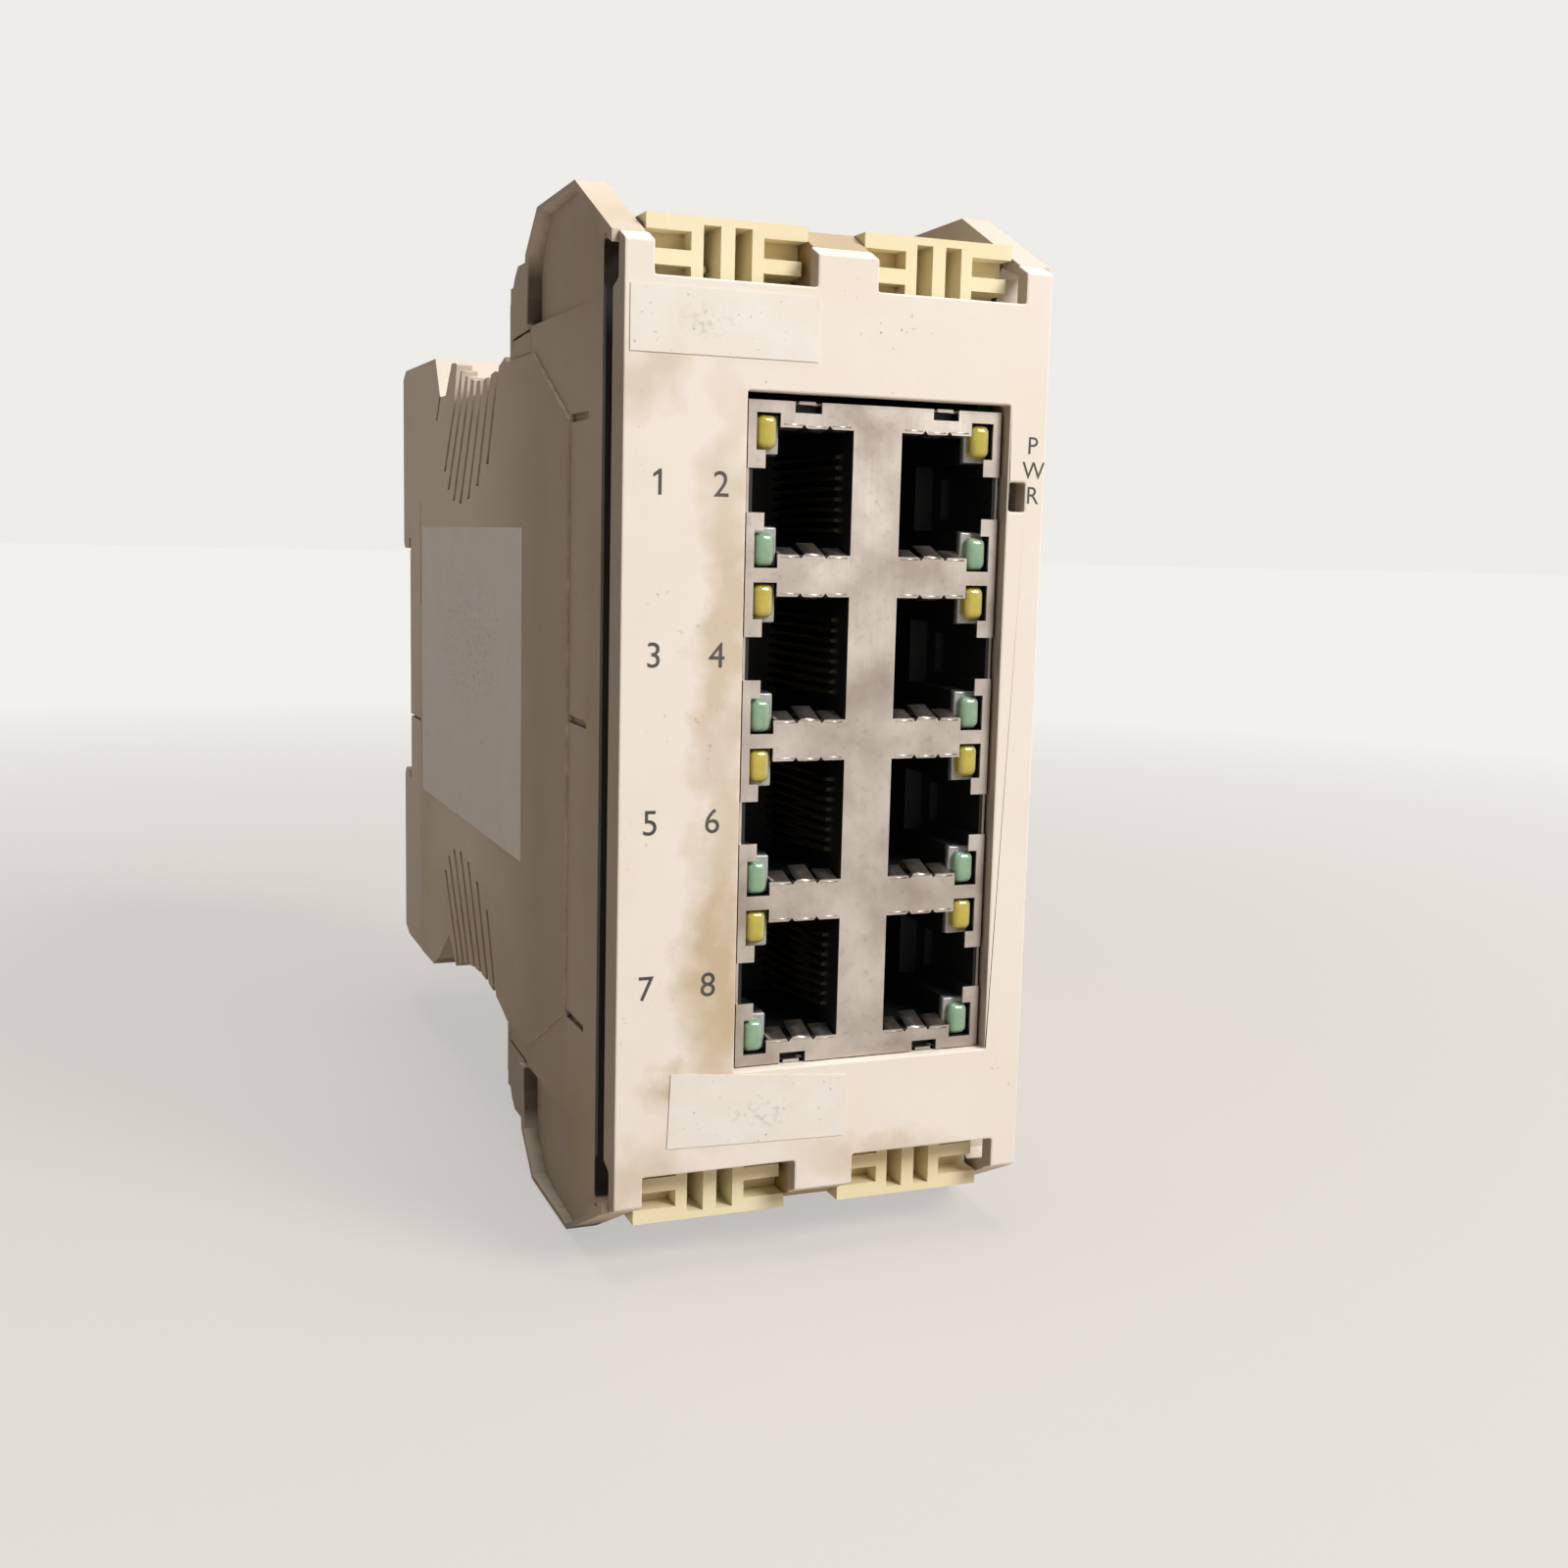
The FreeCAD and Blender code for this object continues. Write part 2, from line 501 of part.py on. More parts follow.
# --------------------------------------------------------------- filler plugs
RIB_OUT = 3.6
RIB_IN = 2.4
for name, turn, flip in (
    ("filler_plug_top_left", -1, 1), ("filler_plug_top_right", 1, 1),
    ("filler_plug_bottom_left", -1, -1), ("filler_plug_bottom_right", 1, -1),
):
    plug = piece(name)
    middle = "%d * (tab_w / 4 + face_w / 4 - leg_w / 2 - plug_inset)" % turn

    def block(low_x, high_x, low_z, high_z):
        return rect(
            "%s + (%s)" % (middle, low_x), "%s + (%s)" % (middle, high_x),
            "(%s) * %d" % (low_z, flip), "(%s) * %d" % (high_z, flip),
        )

    plug.add("y", deep("plug_front"), deep("bay_back"), block("-plug_w / 2", "plug_w / 2", "plug_bottom", "plug_top"))
    plug.cut(
        "y", deep("plug_front - 1"), deep("plug_front + 2.4"),
        block("-plug_w / 2 - 1", -RIB_OUT, "plug_top - 3.15", "plug_top - 1.45"),
        block(RIB_OUT, "plug_w / 2 + 1", "plug_top - 3.3", "plug_top - 1.45"),
    )
    plug.cut(
        "y", deep("plug_front - 1"), deep("plug_front + 4"),
        block(RIB_OUT, "plug_w / 2 + 1", "plug_bottom + 1", "plug_top - 4.65"),
    )
    plug.cut(
        "y", deep("plug_front - 1"), deep("plug_front + 2.4"),
        block("plug_w / 2 - 0.6", "plug_w / 2 + 1", "plug_top - 5.3", "plug_top - 2.8"),
    )
    plug.cut(
        "y", deep("plug_front - 1"), deep("plug_front + 2"),
        block("-plug_w / 2 - 1", -RIB_OUT, "plug_bottom + 1", "plug_top - 4.6"),
    )
    plug.cut(
        "y", deep("plug_front - 1"), deep("plug_front + 6.5"),
        block(-RIB_IN, -0.7, "plug_bottom + 1", "plug_top - 0.75"),
        block(0.7, RIB_IN, "plug_bottom + 1", "plug_top - 0.75"),
    )
    plug.add_round(
        "y", deep("plug_front + 3"), deep("plug_front + 6.6"), ("%s - 1.55" % middle, "(plug_top - 4.3) * %d" % flip), 0.45,
    )

# ----------------------------------------------------------------- port block
PORT_ROWS = (1.5, 0.5, -0.5, -1.5)


def from_block(turn, near, far, low_z, high_z):
    """A rectangle beside the port block's middle line; turn -1 is the left column."""
    return rect(
        "block_x + %d * (%s)" % (turn, near), "block_x + %d * (%s)" % (turn, far),
        "block_z + (%s)" % low_z, "block_z + (%s)" % high_z,
    )


def every_socket(near, far, low, high):
    """The same rectangle in all eight sockets, measured from each socket's middle."""
    found = []
    for turn in (-1, 1):
        for row in PORT_ROWS:
            z = "port_pitch * %s" % row
            found.append(from_block(turn, near, far, "%s + (%s)" % (z, low), "%s + (%s)" % (z, high)))
    return found


def socket_outline(turn, row):
    """The outline cut in the shield for one socket and its two lamps."""
    upper = [("port_in", "port_h / 2")]
    for nick in ("port_in + 2.5", "port_in + 5.15"):
        upper += [("%s - 0.3" % nick, "port_h / 2"), (nick, "port_h / 2 + 0.35"), ("%s + 0.3" % nick, "port_h / 2")]
    upper += [
        ("lamp_in - 0.05", "port_h / 2"), ("lamp_in - 0.05", "lamp_far + 0.05"), ("lamp_out + 0.05", "lamp_far + 0.05"),
        ("lamp_out + 0.05", "lamp_near - 0.05"), ("step_out", "lamp_near - 0.05"), ("step_out", "latch_slot_h / 2"),
        ("shield_w / 2", "latch_slot_h / 2"),
    ]
    lower = [(x, "-(%s)" % z) for x, z in reversed(upper)]
    return [
        ("block_x + %d * (%s)" % (turn, x), "block_z + port_pitch * %s + %s" % (row, z)) for x, z in upper + lower
    ]


def edge_notches():
    """Shallow notches at the top and bottom edges of the block, beside each column."""
    found = []
    for turn in (-1, 1):
        for up in (1, -1):
            found.append(from_block(turn, 5.9, 8.65, "%d * (shield_h / 2 - 1.05)" % up, "%d * (shield_h / 2 + 1)" % up))
    return found


shield = piece("port_shield")
shield.add(
    "y", deep("shield_front"), deep("shield_back"),
    from_block(1, "-shield_w / 2", "shield_w / 2", "-shield_h / 2", "shield_h / 2"),
)
INSIDE = from_block(
    1, "-shield_w / 2 + shield_t", "shield_w / 2 - shield_t", "-shield_h / 2 + shield_t", "shield_h / 2 - shield_t",
)
shield.cut("y", deep("shield_front + shield_t"), deep("shield_back + 1"), INSIDE)
for turn in (-1, 1):
    front_cut = shield.cut("y", deep("shield_front - 1"), deep("shield_front + shield_t"), socket_outline(turn, -1.5))
    shield.repeat(front_cut, "V_Axis", "port_pitch * 3", 4)
shield.cut("y", deep("shield_front - 1"), deep("shield_front + 1.2"), *edge_notches())
tabs = []
for turn in (-1, 1):
    for up in (1, -1):
        tabs.append(from_block(turn, 6.45, 8.15, "%d * (shield_h / 2 - shield_t)" % up, "%d * (shield_h / 2 + 0.05)" % up))
shield.add("y", deep("shield_front + 0.3"), deep("shield_front + 1.4"), *tabs)

# each lamp has a collar behind its lens, seated in a shallow step of the block
COLLAR_FRONT = "shield_front + 1.1"
COLLAR_BACK = "shield_front + 1.9"
block_body = piece("port_insulator")
block_body.add("y", deep("shield_front + shield_t"), deep("shield_back"), INSIDE)
block_body.cut("y", deep("shield_front"), deep("shield_front + 1.6"), *edge_notches())
block_body.cut("y", deep("shield_front"), deep("port_deep"), *every_socket("port_in", "port_out", "-port_h / 2", "port_h / 2"))
block_body.cut(
    "y", deep("shield_front"), deep("port_deep - 7"),
    *every_socket("port_out - 0.2", "step_out + 0.35", "-step_h / 2", "step_h / 2"),
)
block_body.cut(
    "y", deep("shield_front"), deep("port_deep - 9"),
    *every_socket("step_out", "shield_w / 2 - 0.6", "-latch_slot_h / 2", "latch_slot_h / 2"),
)
for low, high in (("lamp_near - 0.05", "lamp_far + 0.05"), ("-lamp_far - 0.05", "-lamp_near + 0.05")):
    block_body.cut("y", deep("shield_front"), deep(9), *every_socket("lamp_in - 0.05", "lamp_out + 0.05", low, high))
for low, high in (("lamp_near - 0.5", "lamp_far + 0.05"), ("-lamp_far - 0.05", "-lamp_near + 0.5")):
    block_body.cut("y", deep("shield_front"), deep(COLLAR_BACK), *every_socket("port_out - 0.1", "lamp_out + 0.05", low, high))

number = 0
for row in PORT_ROWS:
    for turn in (-1, 1):
        number += 1
        wires = piece("port_%d_contacts" % number)
        wall_x = "block_x + %d * port_in" % turn
        wire = [
            (wall_x, deep(4.6)), (wall_x, deep("port_deep")),
            ("%s + %d * 0.3" % (wall_x, turn), deep("port_deep")), ("%s + %d * 0.3" % (wall_x, turn), deep(5.4)),
            ("%s + %d * 2.7" % (wall_x, turn), deep(14.7)), ("%s + %d * 3" % (wall_x, turn), deep(14.6)),
            ("%s + %d * 0.4" % (wall_x, turn), deep(4.5)),
        ]
        first = "block_z + port_pitch * %s - contact_pitch * 3.5 - contact_t / 2" % row
        base = wires.add("z", first, "%s + contact_t" % first, wire)
        wires.repeat(base, "N_Axis", "contact_pitch * 7", 8)

for colour, up in (("yellow", 1), ("green", -1)):
    number = 0
    for row in PORT_ROWS:
        for turn in (-1, 1):
            number += 1
            lamp = piece("%s_lamp_%d" % (colour, number))
            z = "port_pitch * %s" % row
            lamp.add(
                "y", deep("shield_front + 0.15"), deep(8.9),
                from_block(turn, "lamp_in", "lamp_out - 0.05", "%s + %d * (lamp_near + 0.05)" % (z, up),
                           "%s + %d * (lamp_far - 0.05)" % (z, up)),
            )
            face = SIZES["front"] + SIZES["shield_front"] + 0.15
            lamp.fillet("0.75", lambda box: box.YMax < face + 0.01)
            lamp.add(
                "y", deep(COLLAR_FRONT), deep(COLLAR_BACK),
                from_block(turn, "port_out - 0.05", "lamp_out - 0.05", "%s + %d * (lamp_near - 0.4)" % (z, up),
                           "%s + %d * (lamp_far - 0.05)" % (z, up)),
            )

power_lamp = piece("power_lamp")
power_lamp.add(
    "y", deep(4.3), deep(6.4),
    rect("lamp_hole_x - 0.75", "lamp_hole_x + 0.75", "lamp_hole_z - 1.2", "lamp_hole_z + 1.2"),
)
lamp_face = SIZES["front"] + 4.3
power_lamp.fillet("0.4", lambda box: box.YMax < lamp_face + 0.01)

# --------------------------------------------------------------------- boards
BOARD_X = "block_x + shield_w / 2"
BOARD_Z = "deck_z - 1.9"
main_board = piece("main_board")
main_board.add("x", BOARD_X, "%s + board_t" % BOARD_X, both_ways([(6.4, BOARD_Z), ("main_board_end", BOARD_Z)]))
for place in ((30, 0), (90, 28), (90, -28)):
    main_board.cut_round("x", "%s - 1" % BOARD_X, "%s + board_t + 1" % BOARD_X, (deep(place[0]), place[1]), 1.6)

power_board = piece("power_board")
power_board.add("x", "power_board_x", "power_board_x + board_t", both_ways([(19, BOARD_Z), (90, BOARD_Z)]))
for z in (28, -28):
    power_board.cut_round("x", "power_board_x - 1", "power_board_x + board_t + 1", (deep(86), z), 1.6)
POWER_X = "power_board_x + board_t"


def box_at(depth, z, size_d, size_z):
    """Side outline of a box, from its middle and its size."""
    return side(rect(
        "%s - %s / 2" % (depth, size_d), "%s + %s / 2" % (depth, size_d),
        "%s - %s / 2" % (z, size_z), "%s + %s / 2" % (z, size_z),
    ))


def on_main(name, depth, z, size_d, size_z, height):
    """A part with a flat base on the inner face of the main board, given by its middle and size."""
    made = piece(name)
    made.add("x", "%s - (%s)" % (BOARD_X, height), BOARD_X, box_at(depth, z, size_d, size_z))
    return made


def on_power(name, depth, z, size_d, size_z, height):
    """A part with a flat base on the inner face of the power board."""
    made = piece(name)
    made.add("x", POWER_X, "%s + (%s)" % (POWER_X, height), box_at(depth, z, size_d, size_z))
    return made


chip = on_main("switch_chip", 58, 0, 20, 20, 1.6)
for low, high in ((-11, -9.9), (9.9, 11)):
    lead = side([(58 + low, -8.5), (58 + high, -8.5), (58 + high, -8.1), (58 + low, -8.1)])
    chip.repeat(chip.add("x", "%s - 0.3" % BOARD_X, BOARD_X, lead), "V_Axis", "16.64", 17)
    lead = side([(49.5, low), (49.9, low), (49.9, high), (49.5, high)])
    chip.repeat(chip.add("x", "%s - 0.3" % BOARD_X, BOARD_X, lead), "H_Axis", "16.64", 17)
for number, third in enumerate((3, 1, -1, -3), start=1):
    z = "(%s - 12.5) * %d / 3" % (REAR_SHELF, third)
    module = on_main("magnetics_%d" % number, 34, z, 7.2, 14, 5.6)
    for low, high in ((29.4, 30.5), (37.5, 38.6)):
        feet = [side(rect(low, high, "%s + %d" % (z, k), "%s + %d + 0.5" % (z, k))) for k in range(-6, 6, 2)]
        module.add("x", "%s - 0.4" % BOARD_X, BOARD_X, *feet)
on_main("crystal", 74, 17, 4.8, 11.4, 3.5)
on_main("config_memory", 73, -14, 4, 5, 1.5)
on_main("logic_regulator", 80, -2, 6, 6.6, 2.3)
on_main("link_socket", 80, -26, 5, 12, "(%s - (%s)) / 2 + 0.3" % (BOARD_X, POWER_X))
on_power("link_header", 80, -26, 5, 12, "(%s - (%s)) / 2 - 0.3" % (BOARD_X, POWER_X))
on_power("power_transformer", 62, 6, 16, 14, 12)
on_power("input_fuse", 46, 22, 3, 10, 3.2)
on_power("bridge_rectifier", 46, 8, 6.4, 8.4, 2.6)
for name, depth, z, radius, height in (
    ("input_capacitor", 40, -12, 5, 16), ("output_capacitor", 60, -16, 4, 12), ("input_choke", 31.2, 8, 4.5, 7),
):
    can = piece(name)
    can.add_round("x", POWER_X, "%s + %s" % (POWER_X, height), (deep(depth), z), radius)

# ------------------------------------------------------------- power terminal
terminal = piece("power_terminal")
TERMINAL_Z = "block_z + shield_h / 2 + 0.7"
SCREW_X = "%s + 6.4" % POWER_X
terminal.add("x", TERMINAL_LOW, TERMINAL_HIGH, side([
    (19.1, TERMINAL_Z), (19.1, "roof_z - 0.4"), (39.3, "roof_z - 0.4"), (39.3, TERMINAL_Z),
]))
terminal.add("x", TERMINAL_LOW, "%s + 6.2" % POWER_X, side([
    (26.5, "%s - 5.6" % TERMINAL_Z), (26.5, "%s + 0.1" % TERMINAL_Z), (39.3, "%s + 0.1" % TERMINAL_Z),
    (39.3, "%s - 5.6" % TERMINAL_Z),
]))
screws = piece("terminal_screws")
screw_depths = [21.3 + 5.08 * index for index in range(4)]
for depth in screw_depths:
    entry = [("%s + %s" % (POWER_X, x), deep(d)) for x, d in (
        (1.1, depth - 1.5), (3.9, depth - 1.5), (3.9, depth + 1.5), (1.1, depth + 1.5))]
    terminal.cut("z", "roof_z - 10", "roof_z", entry)
    terminal.cut_round("z", "roof_z - 5", "roof_z", (SCREW_X, deep(depth)), 1.6)
    screws.add_round("z", "roof_z - 5", "roof_z - 2.4", (SCREW_X, deep(depth)), 1.5)
for depth in screw_depths:
    screws.cut("z", "roof_z - 3.1", "roof_z - 2", [("%s + %s" % (SCREW_X, x), deep(d)) for x, d in (
        (-1.3, depth - 0.25), (1.3, depth - 0.25), (1.3, depth + 0.25), (-1.3, depth + 0.25))])

# --------------------------------------------------------------------- labels
upper_label = piece("label_upper")
upper_label.add("y", deep(-0.1), "front", rect("0.55 - face_w / 2", -2.9, 35.5, 41.4))
lower_label = piece("label_lower")
lower_label.add("y", deep(-0.1), "front", [(-16.3, -32.25), (2.15, -33.9), (1.9, -40.15), (-16.6, -39.65)])
side_label = piece("label_side")
side_label.add("x", "-(%s) - 0.1" % SHELL_HALF, "-(%s)" % SHELL_HALF, side([(37, -17.8), (37, 19.6), (97, 19.6), (97, -17.8)]))

# --------------------------------------------------------------- latch spring
COIL = 1.7
WIRE = 0.25
helix = doc.addObject("Part::Helix", "spring_path")
helix.Radius = COIL
helix.Pitch = 1.6
helix.Height = 12.8
ring = doc.addObject("Part::Circle", "spring_wire")
ring.Radius = WIRE
ring.Placement = FreeCAD.Placement(FreeCAD.Vector(COIL, 0, 0), FreeCAD.Rotation(FreeCAD.Vector(1, 0, 0), 90))
coil = doc.addObject("Part::Sweep", "spring_coil")
coil.Sections = [ring]
coil.Spine = (helix, [])
coil.Solid = True
coil.Frenet = True
ground = doc.addObject("Part::Cylinder", "spring_length")
ground.Radius = COIL + 1
ground.Height = 12
ground.Placement.Base.z = 0.4
spring = doc.addObject("Part::Common", "latch_spring")
spring.Label = "latch_spring"
spring.Base = coil
spring.Tool = ground
spring.setExpression("Placement.Base.y", "-dims.latch_front + 3.1")
spring.Placement.Base.z = -30.4

doc.recompute()
os.makedirs("parts", exist_ok=True)
finished = [(made.name, made.body) for made in pieces] + [("latch_spring", spring)]
for item in doc.Objects:
    if "Invalid" in item.State or "Error" in item.State:
        raise RuntimeError("%s did not build: %s" % (item.Name, item.State))
for name, item in finished:
    shape = item.Shape
    if shape.isNull() or not shape.isValid() or shape.Volume <= 0:
        raise RuntimeError("%s has no sound shape" % name)
    shape.exportStep("parts/%s.step" % name)
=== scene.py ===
"""Dresses an eight port network switch for a mounting rail, and builds the stage that it is shown on."""

import math

import bmesh
import bpy
from bpy.props import FloatProperty, FloatVectorProperty, PointerProperty
from mathutils import Matrix, Vector


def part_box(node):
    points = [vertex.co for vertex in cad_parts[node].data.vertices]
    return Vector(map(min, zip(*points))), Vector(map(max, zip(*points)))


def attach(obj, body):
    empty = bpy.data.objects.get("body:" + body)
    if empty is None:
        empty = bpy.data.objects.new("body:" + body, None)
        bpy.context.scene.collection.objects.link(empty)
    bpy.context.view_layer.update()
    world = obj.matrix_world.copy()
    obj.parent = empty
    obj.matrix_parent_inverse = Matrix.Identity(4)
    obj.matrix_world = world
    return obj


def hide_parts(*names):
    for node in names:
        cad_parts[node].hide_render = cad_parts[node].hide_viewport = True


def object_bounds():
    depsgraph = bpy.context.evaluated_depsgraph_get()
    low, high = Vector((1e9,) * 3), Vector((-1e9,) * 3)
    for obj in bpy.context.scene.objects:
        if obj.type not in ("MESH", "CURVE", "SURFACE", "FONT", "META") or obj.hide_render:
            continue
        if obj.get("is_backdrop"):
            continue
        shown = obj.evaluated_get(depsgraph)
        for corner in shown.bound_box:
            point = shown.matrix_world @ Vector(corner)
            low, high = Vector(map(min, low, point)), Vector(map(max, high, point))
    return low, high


bl_info = {
    "name": "Rail Switch Dresser",
    "version": (1, 0, 0),
    "blender": (4, 5, 0),
    "location": "View3D > Sidebar > Rail Switch",
    "description": "Gives a rail mounted network switch its mouldings, sockets, lamps, labels and print",
    "category": "Object",
}

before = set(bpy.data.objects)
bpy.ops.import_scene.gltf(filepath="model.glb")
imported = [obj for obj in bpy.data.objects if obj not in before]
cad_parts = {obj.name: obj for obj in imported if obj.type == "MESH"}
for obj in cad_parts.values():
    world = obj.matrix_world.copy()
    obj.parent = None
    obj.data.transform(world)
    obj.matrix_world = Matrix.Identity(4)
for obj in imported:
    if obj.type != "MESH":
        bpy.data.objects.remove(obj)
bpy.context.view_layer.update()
MM = 0.001
# the plane of the face plate's front, on Y
FACE_Y = -0.107
# outline of a figure one with its flag, in the print's own units
FLAGGED_ONE = (
    (0.0009, 0), (0.0009, 0.0072), (0.0002, 0.0072), (-0.0016, 0.0058), (-0.0016, 0.0048),
    (-0.0001, 0.0058), (-0.0001, 0),
)


# ---------------------------------------------------------------- helpers
def linear(hex_text):
    """Linear colour from an sRGB hex value."""
    found = []
    for start in (1, 3, 5):
        c = int(hex_text[start:start + 2], 16) / 255
        found.append(c / 12.92 if c <= 0.04045 else ((c + 0.055) / 1.055) ** 2.4)
    return tuple(found)


def put(tree, kind, inputs=None, **settings):
    """Adds one node. Each input is set on the socket of its name or number, or linked where it is a socket."""
    made = tree.nodes.new(kind)
    for name, value in settings.items():
        setattr(made, name, value)
    for name, value in (inputs or {}).items():
        if isinstance(value, bpy.types.NodeSocket):
            tree.links.new(value, made.inputs[name])
        elif isinstance(value, tuple) and len(value) == 3 and made.inputs[name].type == "RGBA":
            made.inputs[name].default_value = (*value, 1)
        else:
            made.inputs[name].default_value = value
    return made


def new_material(name):
    """An empty material, its tree and its output node."""
    material = bpy.data.materials.new(name)
    material.use_nodes = True
    tree = material.node_tree
    tree.nodes.clear()
    return material, tree, tree.nodes.new("ShaderNodeOutputMaterial")


def colour_mix(tree, factor, low, high):
    """The colour output of a mix of two colours."""
    made = put(tree, "ShaderNodeMix", data_type="RGBA")
    for number, value in ((0, factor), (6, low), (7, high)):
        if isinstance(value, bpy.types.NodeSocket):
            tree.links.new(value, made.inputs[number])
        elif number == 0:
            made.inputs[number].default_value = value
        else:
            made.inputs[number].default_value = (*value, 1)
    return made.outputs[2]


def ramp(tree, factor, low, high):
    """A value that runs from 0 at low to 1 at high."""
    made = put(tree, "ShaderNodeMapRange", {"Value": factor, "From Min": low, "From Max": high}, clamp=True)
    return made.outputs["Result"]


def times(tree, first, second):
    """The product of two values."""
    return put(tree, "ShaderNodeMath", {0: first, 1: second}, operation="MULTIPLY").outputs[0]


def most(tree, first, second):
    """The larger of two values."""
    return put(tree, "ShaderNodeMath", {0: first, 1: second}, operation="MAXIMUM").outputs[0]


def noise(tree, coords, size, detail=3.0, roughness=0.55):
    """Noise whose blotches are about size metres across."""
    values = {"Vector": coords, "Scale": 1 / size, "Detail": detail, "Roughness": roughness}
    return put(tree, "ShaderNodeTexNoise", values).outputs["Fac"]


def blot(tree, coords, centre, reach):
    """A soft spot, 1 at its centre and 0 at its reach along each axis."""
    place = tuple(-c / r for c, r in zip(centre, reach))
    scale = tuple(1 / r for r in reach)
    moved = put(tree, "ShaderNodeMapping", {"Vector": coords, "Location": place, "Scale": scale})
    spot = put(tree, "ShaderNodeTexGradient", {"Vector": moved.outputs[0]}, gradient_type="SPHERICAL")
    return spot.outputs["Fac"]


def slab(tree, coords, axis, low, high, soft):
    """1 between two positions along an axis of the coordinates, fading to 0 over a soft width beyond them."""
    value = put(tree, "ShaderNodeSeparateXYZ", {"Vector": coords}).outputs[axis]
    return times(tree, ramp(tree, value, low - soft, low), ramp(tree, value, high + soft, high))


def finished(name, mesh, body, slot, *stands_for):
    """An object at the origin that rides on a body."""
    made = bpy.data.objects.new(name, mesh)
    bpy.context.scene.collection.objects.link(made)
    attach(made, body)
    if stands_for:
        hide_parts(*stands_for)
    return made


def rounded_copy(node, body, slot, material, radius):
    """A copy of a moulding with its corners broken by a small radius."""
    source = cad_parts[node]
    bm = bmesh.new()
    bm.from_mesh(source.data)
    bmesh.ops.remove_doubles(bm, verts=bm.verts, dist=0.002 * MM)
    bmesh.ops.dissolve_limit(bm, angle_limit=math.radians(0.6), verts=bm.verts, edges=bm.edges)
    bmesh.ops.triangulate(bm, faces=[f for f in bm.faces if len(f.verts) > 4], ngon_method="EAR_CLIP")
    mesh = bpy.data.meshes.new(node + "_shell")
    bm.to_mesh(mesh)
    bm.free()
    mesh.materials.append(material)
    made = finished(node + "_shell", mesh, body, slot, node)
    bevel = made.modifiers.new("broken corners", "BEVEL")
    bevel.width = radius
    bevel.segments = 2
    bevel.limit_method = "ANGLE"
    bevel.angle_limit = math.radians(35)
    bevel.use_clamp_overlap = True
    bevel.miter_outer = "MITER_ARC"
    return made


def folded_strip(bm, start, end, front, top, up, run, rise):
    """A narrow strip of sheet folded from the block's front face into a socket; up is -1 at its upper edge."""
    fold = 0.35 * MM
    corners = [bm.verts.new((x, front, top - up * fold)) for x in (start, end)]
    edge = bm.edges.new(corners)
    turned = bmesh.ops.spin(
        bm, geom=corners + [edge], cent=(0, front + fold, top - up * fold), axis=(1, 0, 0), dvec=(0, 0, 0),
        angle=math.radians(-90 * up), steps=5, use_merge=False, use_duplicate=False,
    )
    last = [item for item in turned["geom_last"] if isinstance(item, bmesh.types.BMEdge)]
    half = 0.5
    for _ in range(2):
        pulled = bmesh.ops.extrude_edge_only(bm, edges=last)
        moved = [item for item in pulled["geom"] if isinstance(item, bmesh.types.BMVert)]
        bmesh.ops.translate(bm, verts=moved, vec=(0, run * half, up * rise * half))
        last = [item for item in pulled["geom"] if isinstance(item, bmesh.types.BMEdge)
                and all(v in moved for v in item.verts)]


def lens(bm, low, high, radius):
    """A rounded block with a domed front, between two corners; returns its vertices."""
    made = bmesh.ops.create_cube(bm, size=1.0)["verts"]
    bmesh.ops.scale(bm, verts=made, vec=high - low)
    bmesh.ops.translate(bm, verts=made, vec=(low + high) / 2)
    front = min(v.co.y for v in made)
    edges = {e for v in made for e in v.link_edges if any(w.co.y < front + 0.01 * MM for w in e.verts)}
    before = set(bm.verts) - set(made)
    bmesh.ops.bevel(bm, geom=list(edges), offset=radius, offset_type="OFFSET", segments=6, profile=0.5,
                    affect="EDGES", material=-1, clamp_overlap=True)
    return [v for v in bm.verts if v not in before]


def dress(node, material):
    """Gives a carried over solid its finish."""
    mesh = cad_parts[node].data
    mesh.materials.clear()
    mesh.materials.append(material)


# --------------------------------------------------------------- settings
class MouldingLook(bpy.types.PropertyGroup):
    """Colours and sizes of the plastic mouldings."""

    face: FloatVectorProperty(
        name="Face", description="Light grey of the face plate", subtype="COLOR",
        default=linear("#F1E8DE"),
    )
    housing: FloatVectorProperty(
        name="Housing", description="Light grey of the housing halves", subtype="COLOR",
        default=linear("#DCD0C2"),
    )
    plug: FloatVectorProperty(
        name="Plugs", description="Yellowed filler plugs", subtype="COLOR",
        default=linear("#F4E8C4"),
    )
    stain: FloatVectorProperty(
        name="Stain", description="Brown handling stain", subtype="COLOR",
        default=linear("#BFA67C"),
    )
    # this colour serves both as dust in specks and as painted shade in corners
    grime_and_shade: FloatVectorProperty(
        name="Grime", description="Dust and grease, with painted shade, in corners", subtype="COLOR",
        default=linear("#5A4634"),
    )
    # painted shade: the near-black laid deep in narrow seams and gaps
    gap: FloatVectorProperty(
        name="Gaps", description="Old dirt deep in seams and gaps", subtype="COLOR",
        default=linear("#140C07"),
    )
    corner: FloatProperty(
        name="Corner radius", description="Radius on the moulded corners", unit="LENGTH",
        default=0.18 * MM,
    )
    grain: FloatProperty(
        name="Grain", description="Width of the moulded grain", unit="LENGTH",
        default=0.35 * MM,
    )


